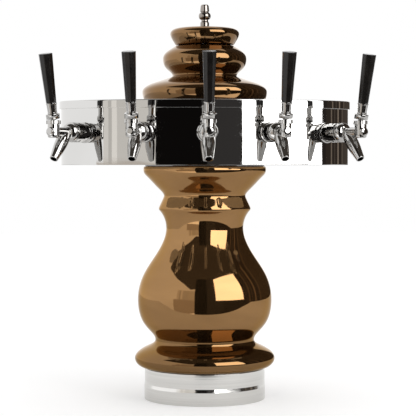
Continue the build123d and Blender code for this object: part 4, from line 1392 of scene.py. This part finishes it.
class TOWER_OT_bonnets(Operator):
    """The notched bonnets that hold the levers' balls"""

    bl_idname = "tower.bonnets"
    bl_label = "Bonnets"

    def execute(self, context):
        sizes, handle = context.scene.tap_sizes, context.scene.handle_sizes
        foot = sizes.pivot_height - sizes.bonnet_height / 2
        top = foot + sizes.bonnet_height
        middle = (foot + top) / 2
        bore = sizes.tower + CLEARANCE
        outline = [
            (sizes.bonnet, middle),
            (sizes.bonnet, top),
            (sizes.mouth, top),
            (sizes.socket, sizes.tower_top),
            (bore, sizes.tower_top),
            (bore, foot),
            (sizes.bonnet, foot),
            (sizes.bonnet, middle - sizes.edge),
        ]
        bonnet = turned("bonnet", rounded(outline, sizes.edge), closed=True)
        for number in range(sizes.notch_count):
            turn = 2 * pi * number / sizes.notch_count
            side = (sizes.bonnet * cos(turn), sizes.bonnet * sin(turn), 0)
            cut(bonnet, placed(drill(foot - PAST, (sizes.notch, top + PAST), sides=SMALL_SIDES), side))
        cut(bonnet, self.neck_slot(sizes, handle))
        crisp(bonnet)
        placed(bonnet, (0, -sizes.pivot_out, 0))
        dress_group_at_taps(bonnet, "bonnet_rings", "tap_chrome", "bonnets")
        return {"FINISHED"}

    def neck_slot(self, sizes, handle):
        """What the bonnet leaves open in front, so that the lever's neck can tilt forward."""
        swing = handle.lean + handle.travel
        half = handle.neck + sizes.neck_room
        reach = sizes.bonnet_height / 2 * tan(swing) + half / cos(swing)
        middle = (0, -reach / 2, sizes.tower_top + sizes.bonnet_height / 2)
        return cutting_box((2 * half, reach, sizes.bonnet_height), middle)


# ---------------------------------------------------------------- operators: levers and handles


class TOWER_OT_levers(Operator):
    """The levers: finger, ball, neck, collar and thread"""

    bl_idname = "tower.levers"
    bl_label = "Levers"

    # Places on the finger's round tip, out and up from its middle, as shares of its radius
    tip_places = ((0.7, -0.7), (1, 0), (0.75, 0.66))

    def execute(self, context):
        sizes = context.scene.handle_sizes
        outline = Outline(self.finger(sizes))
        for lift in BALL_LIFTS:
            outline.to((sizes.ball * sin(radians(lift)), -sizes.ball * cos(radians(lift))))
        outline.to((sizes.neck, sqrt(sizes.ball**2 - sizes.neck**2)))
        for radius in np.linspace(sizes.neck, sizes.collar, DOME_POINTS):
            outline.to((radius, sqrt(sizes.dome**2 - radius**2)))
        thread_top = sizes.collar_top + sizes.thread
        collar = [(sizes.collar, sizes.collar_top), (sizes.neck, sizes.collar_top)]
        collar += [(sizes.neck, thread_top), (POLE, thread_top)]
        outline += rounded([outline[-1], *collar], sizes.collar_edge)[1:]
        lever = turned("lever", outline)
        at_lever(lever)
        dress_at_taps(lever, "lever_stick", "handle", "tap_chrome", "lever")
        return {"FINISHED"}

    def finger(self, sizes):
        """The finger that moves the valve, with its round tip."""
        tip, tip_z = sizes.finger_tip, -sizes.finger_reach
        round_tip = [(out * tip, tip_z + up * tip) for out, up in self.tip_places]
        return [(POLE, tip_z - tip), *round_tip, (sizes.finger, -sizes.ball)]


class TOWER_OT_ferrules(Operator):
    """The ferrules under the handles"""

    bl_idname = "tower.ferrules"
    bl_label = "Ferrules"

    def execute(self, context):
        sizes = context.scene.handle_sizes
        foot, top = sizes.collar_top, sizes.collar_top + sizes.ferrule_length
        hole, hole_top = sizes.neck + CLEARANCE, foot + sizes.thread + CLEARANCE
        lower_bead, upper_bead = sizes.ferrule_foot + sizes.bead, sizes.ferrule_top + sizes.bead
        outline = [
            (POLE, hole_top),
            (hole, hole_top),
            (hole, foot),
            (lower_bead, foot),
            (lower_bead, foot + sizes.bead_height),
            (sizes.ferrule_foot, foot + sizes.bead_run),
            (sizes.ferrule_top, top - sizes.bead_run),
            (upper_bead, top - sizes.bead_height),
            (upper_bead, top),
            (sizes.stud, top),
            (sizes.stud, top + sizes.stud_length),
            (POLE, top + sizes.stud_length),
        ]
        ferrule = turned("ferrule", rounded(outline, sizes.ferrule_edge))
        at_lever(ferrule)
        dress_at_taps(ferrule, "handle_ferrule", "handle", "tap_chrome", "ferrule")
        return {"FINISHED"}


class TOWER_OT_grips(Operator):
    """The black handles, with eight sides that widen to a flat top"""

    bl_idname = "tower.grips"
    bl_label = "Handles"

    def execute(self, context):
        sizes = context.scene.handle_sizes
        foot = sizes.collar_top + sizes.ferrule_length
        ends = [(sizes.grip_foot, foot), (sizes.grip_top, foot + sizes.grip_length)]
        grip = turned("grip", ends, sizes.grip_sides)
        bevel = {"segments": 3, "limit_method": "ANGLE", "angle_limit": radians(20)}
        modify(grip, "BEVEL", width=sizes.grip_edge, **bevel)
        stud_top = foot + sizes.stud_length + CLEARANCE
        cut(grip, drill(foot - PAST, (sizes.stud + CLEARANCE, stud_top)))
        modify(grip, "WEIGHTED_NORMAL", keep_sharp=True)
        at_lever(grip)
        dress_at_taps(grip, "black_grip", "handle", "grip", "grip")
        return {"FINISHED"}


class TOWER_OT_inner_parts(Operator):
    """Finishes for the pieces that keep the frame's own shape"""

    bl_idname = "tower.inner_parts"
    bl_label = "Inner parts"

    kept = {
        "steel": ("base_flange", "inner_column", "column_screws", "rod_spider", "rod_nuts", "finial_rod"),
        "chrome": ("header_pan",),
        "seal": ("base_gasket", "foot_seal", "crown_seal", "coupling_washers"),
        "foam": ("insulation_sleeve",),
        "tube": ("beer_lines", "coolant_loop"),
        "tap_chrome": ("shank", "lock_nuts", "valve_stem"),
    }

    def execute(self, context):
        for name, nodes in self.kept.items():
            for node, piece in frame["nodes"].items():
                if node.rstrip("_0123456789") in nodes:
                    piece.data.materials.clear()
                    piece.data.materials.append(finish(name))
        return {"FINISHED"}


# ---------------------------------------------------------------- panel and registration

SIZE_GROUPS = {
    "base_ring_sizes": BaseRingSizes,
    "column_sizes": ColumnSizes,
    "header_sizes": HeaderSizes,
    "cap_sizes": CapSizes,
    "finial_sizes": FinialSizes,
    "tap_sizes": TapSizes,
    "handle_sizes": HandleSizes,
    "tower_colours": TowerColours,
    "studio_sizes": StudioSizes,
}
OPERATORS = (
    TOWER_OT_studio,
    TOWER_OT_base_ring,
    TOWER_OT_column,
    TOWER_OT_header,
    TOWER_OT_caps,
    TOWER_OT_finial,
    TOWER_OT_wall_plates,
    TOWER_OT_coupling_nuts,
    TOWER_OT_tap_bodies,
    TOWER_OT_bonnets,
    TOWER_OT_levers,
    TOWER_OT_ferrules,
    TOWER_OT_grips,
    TOWER_OT_inner_parts,
)


def spoken(name):
    """A name in plain words."""
    return name.replace("_", " ").capitalize()


class TOWER_PT_pieces(Panel):
    """Lists the pieces and their sizes"""

    bl_idname = "TOWER_PT_pieces"
    bl_label = "Beer tower"
    bl_space_type = "VIEW_3D"
    bl_region_type = "UI"
    bl_category = "Beer tower"

    def draw(self, context):
        for operator in OPERATORS:
            self.layout.operator(operator.bl_idname)
        for name, group in SIZE_GROUPS.items():
            box = self.layout.box()
            box.label(text=spoken(name))
            for size in group.__annotations__:
                box.prop(getattr(context.scene, name), size, text=spoken(size))


def register():
    """Registers the sizes, the operators and the panel."""
    for name, group in SIZE_GROUPS.items():
        bpy.utils.register_class(group)
        setattr(bpy.types.Scene, name, PointerProperty(type=group))
    for operator in OPERATORS:
        bpy.utils.register_class(operator)
    bpy.utils.register_class(TOWER_PT_pieces)


def unregister():
    """Takes them all out again."""
    bpy.utils.unregister_class(TOWER_PT_pieces)
    for operator in reversed(OPERATORS):
        bpy.utils.unregister_class(operator)
    for name, group in reversed(SIZE_GROUPS.items()):
        delattr(bpy.types.Scene, name)
        bpy.utils.unregister_class(group)


def main():
    """Makes everything."""
    register()
    for operator in OPERATORS:
        module, name = operator.bl_idname.split(".")
        getattr(getattr(bpy.ops, module), name)()


if __name__ == "__main__":
    main()
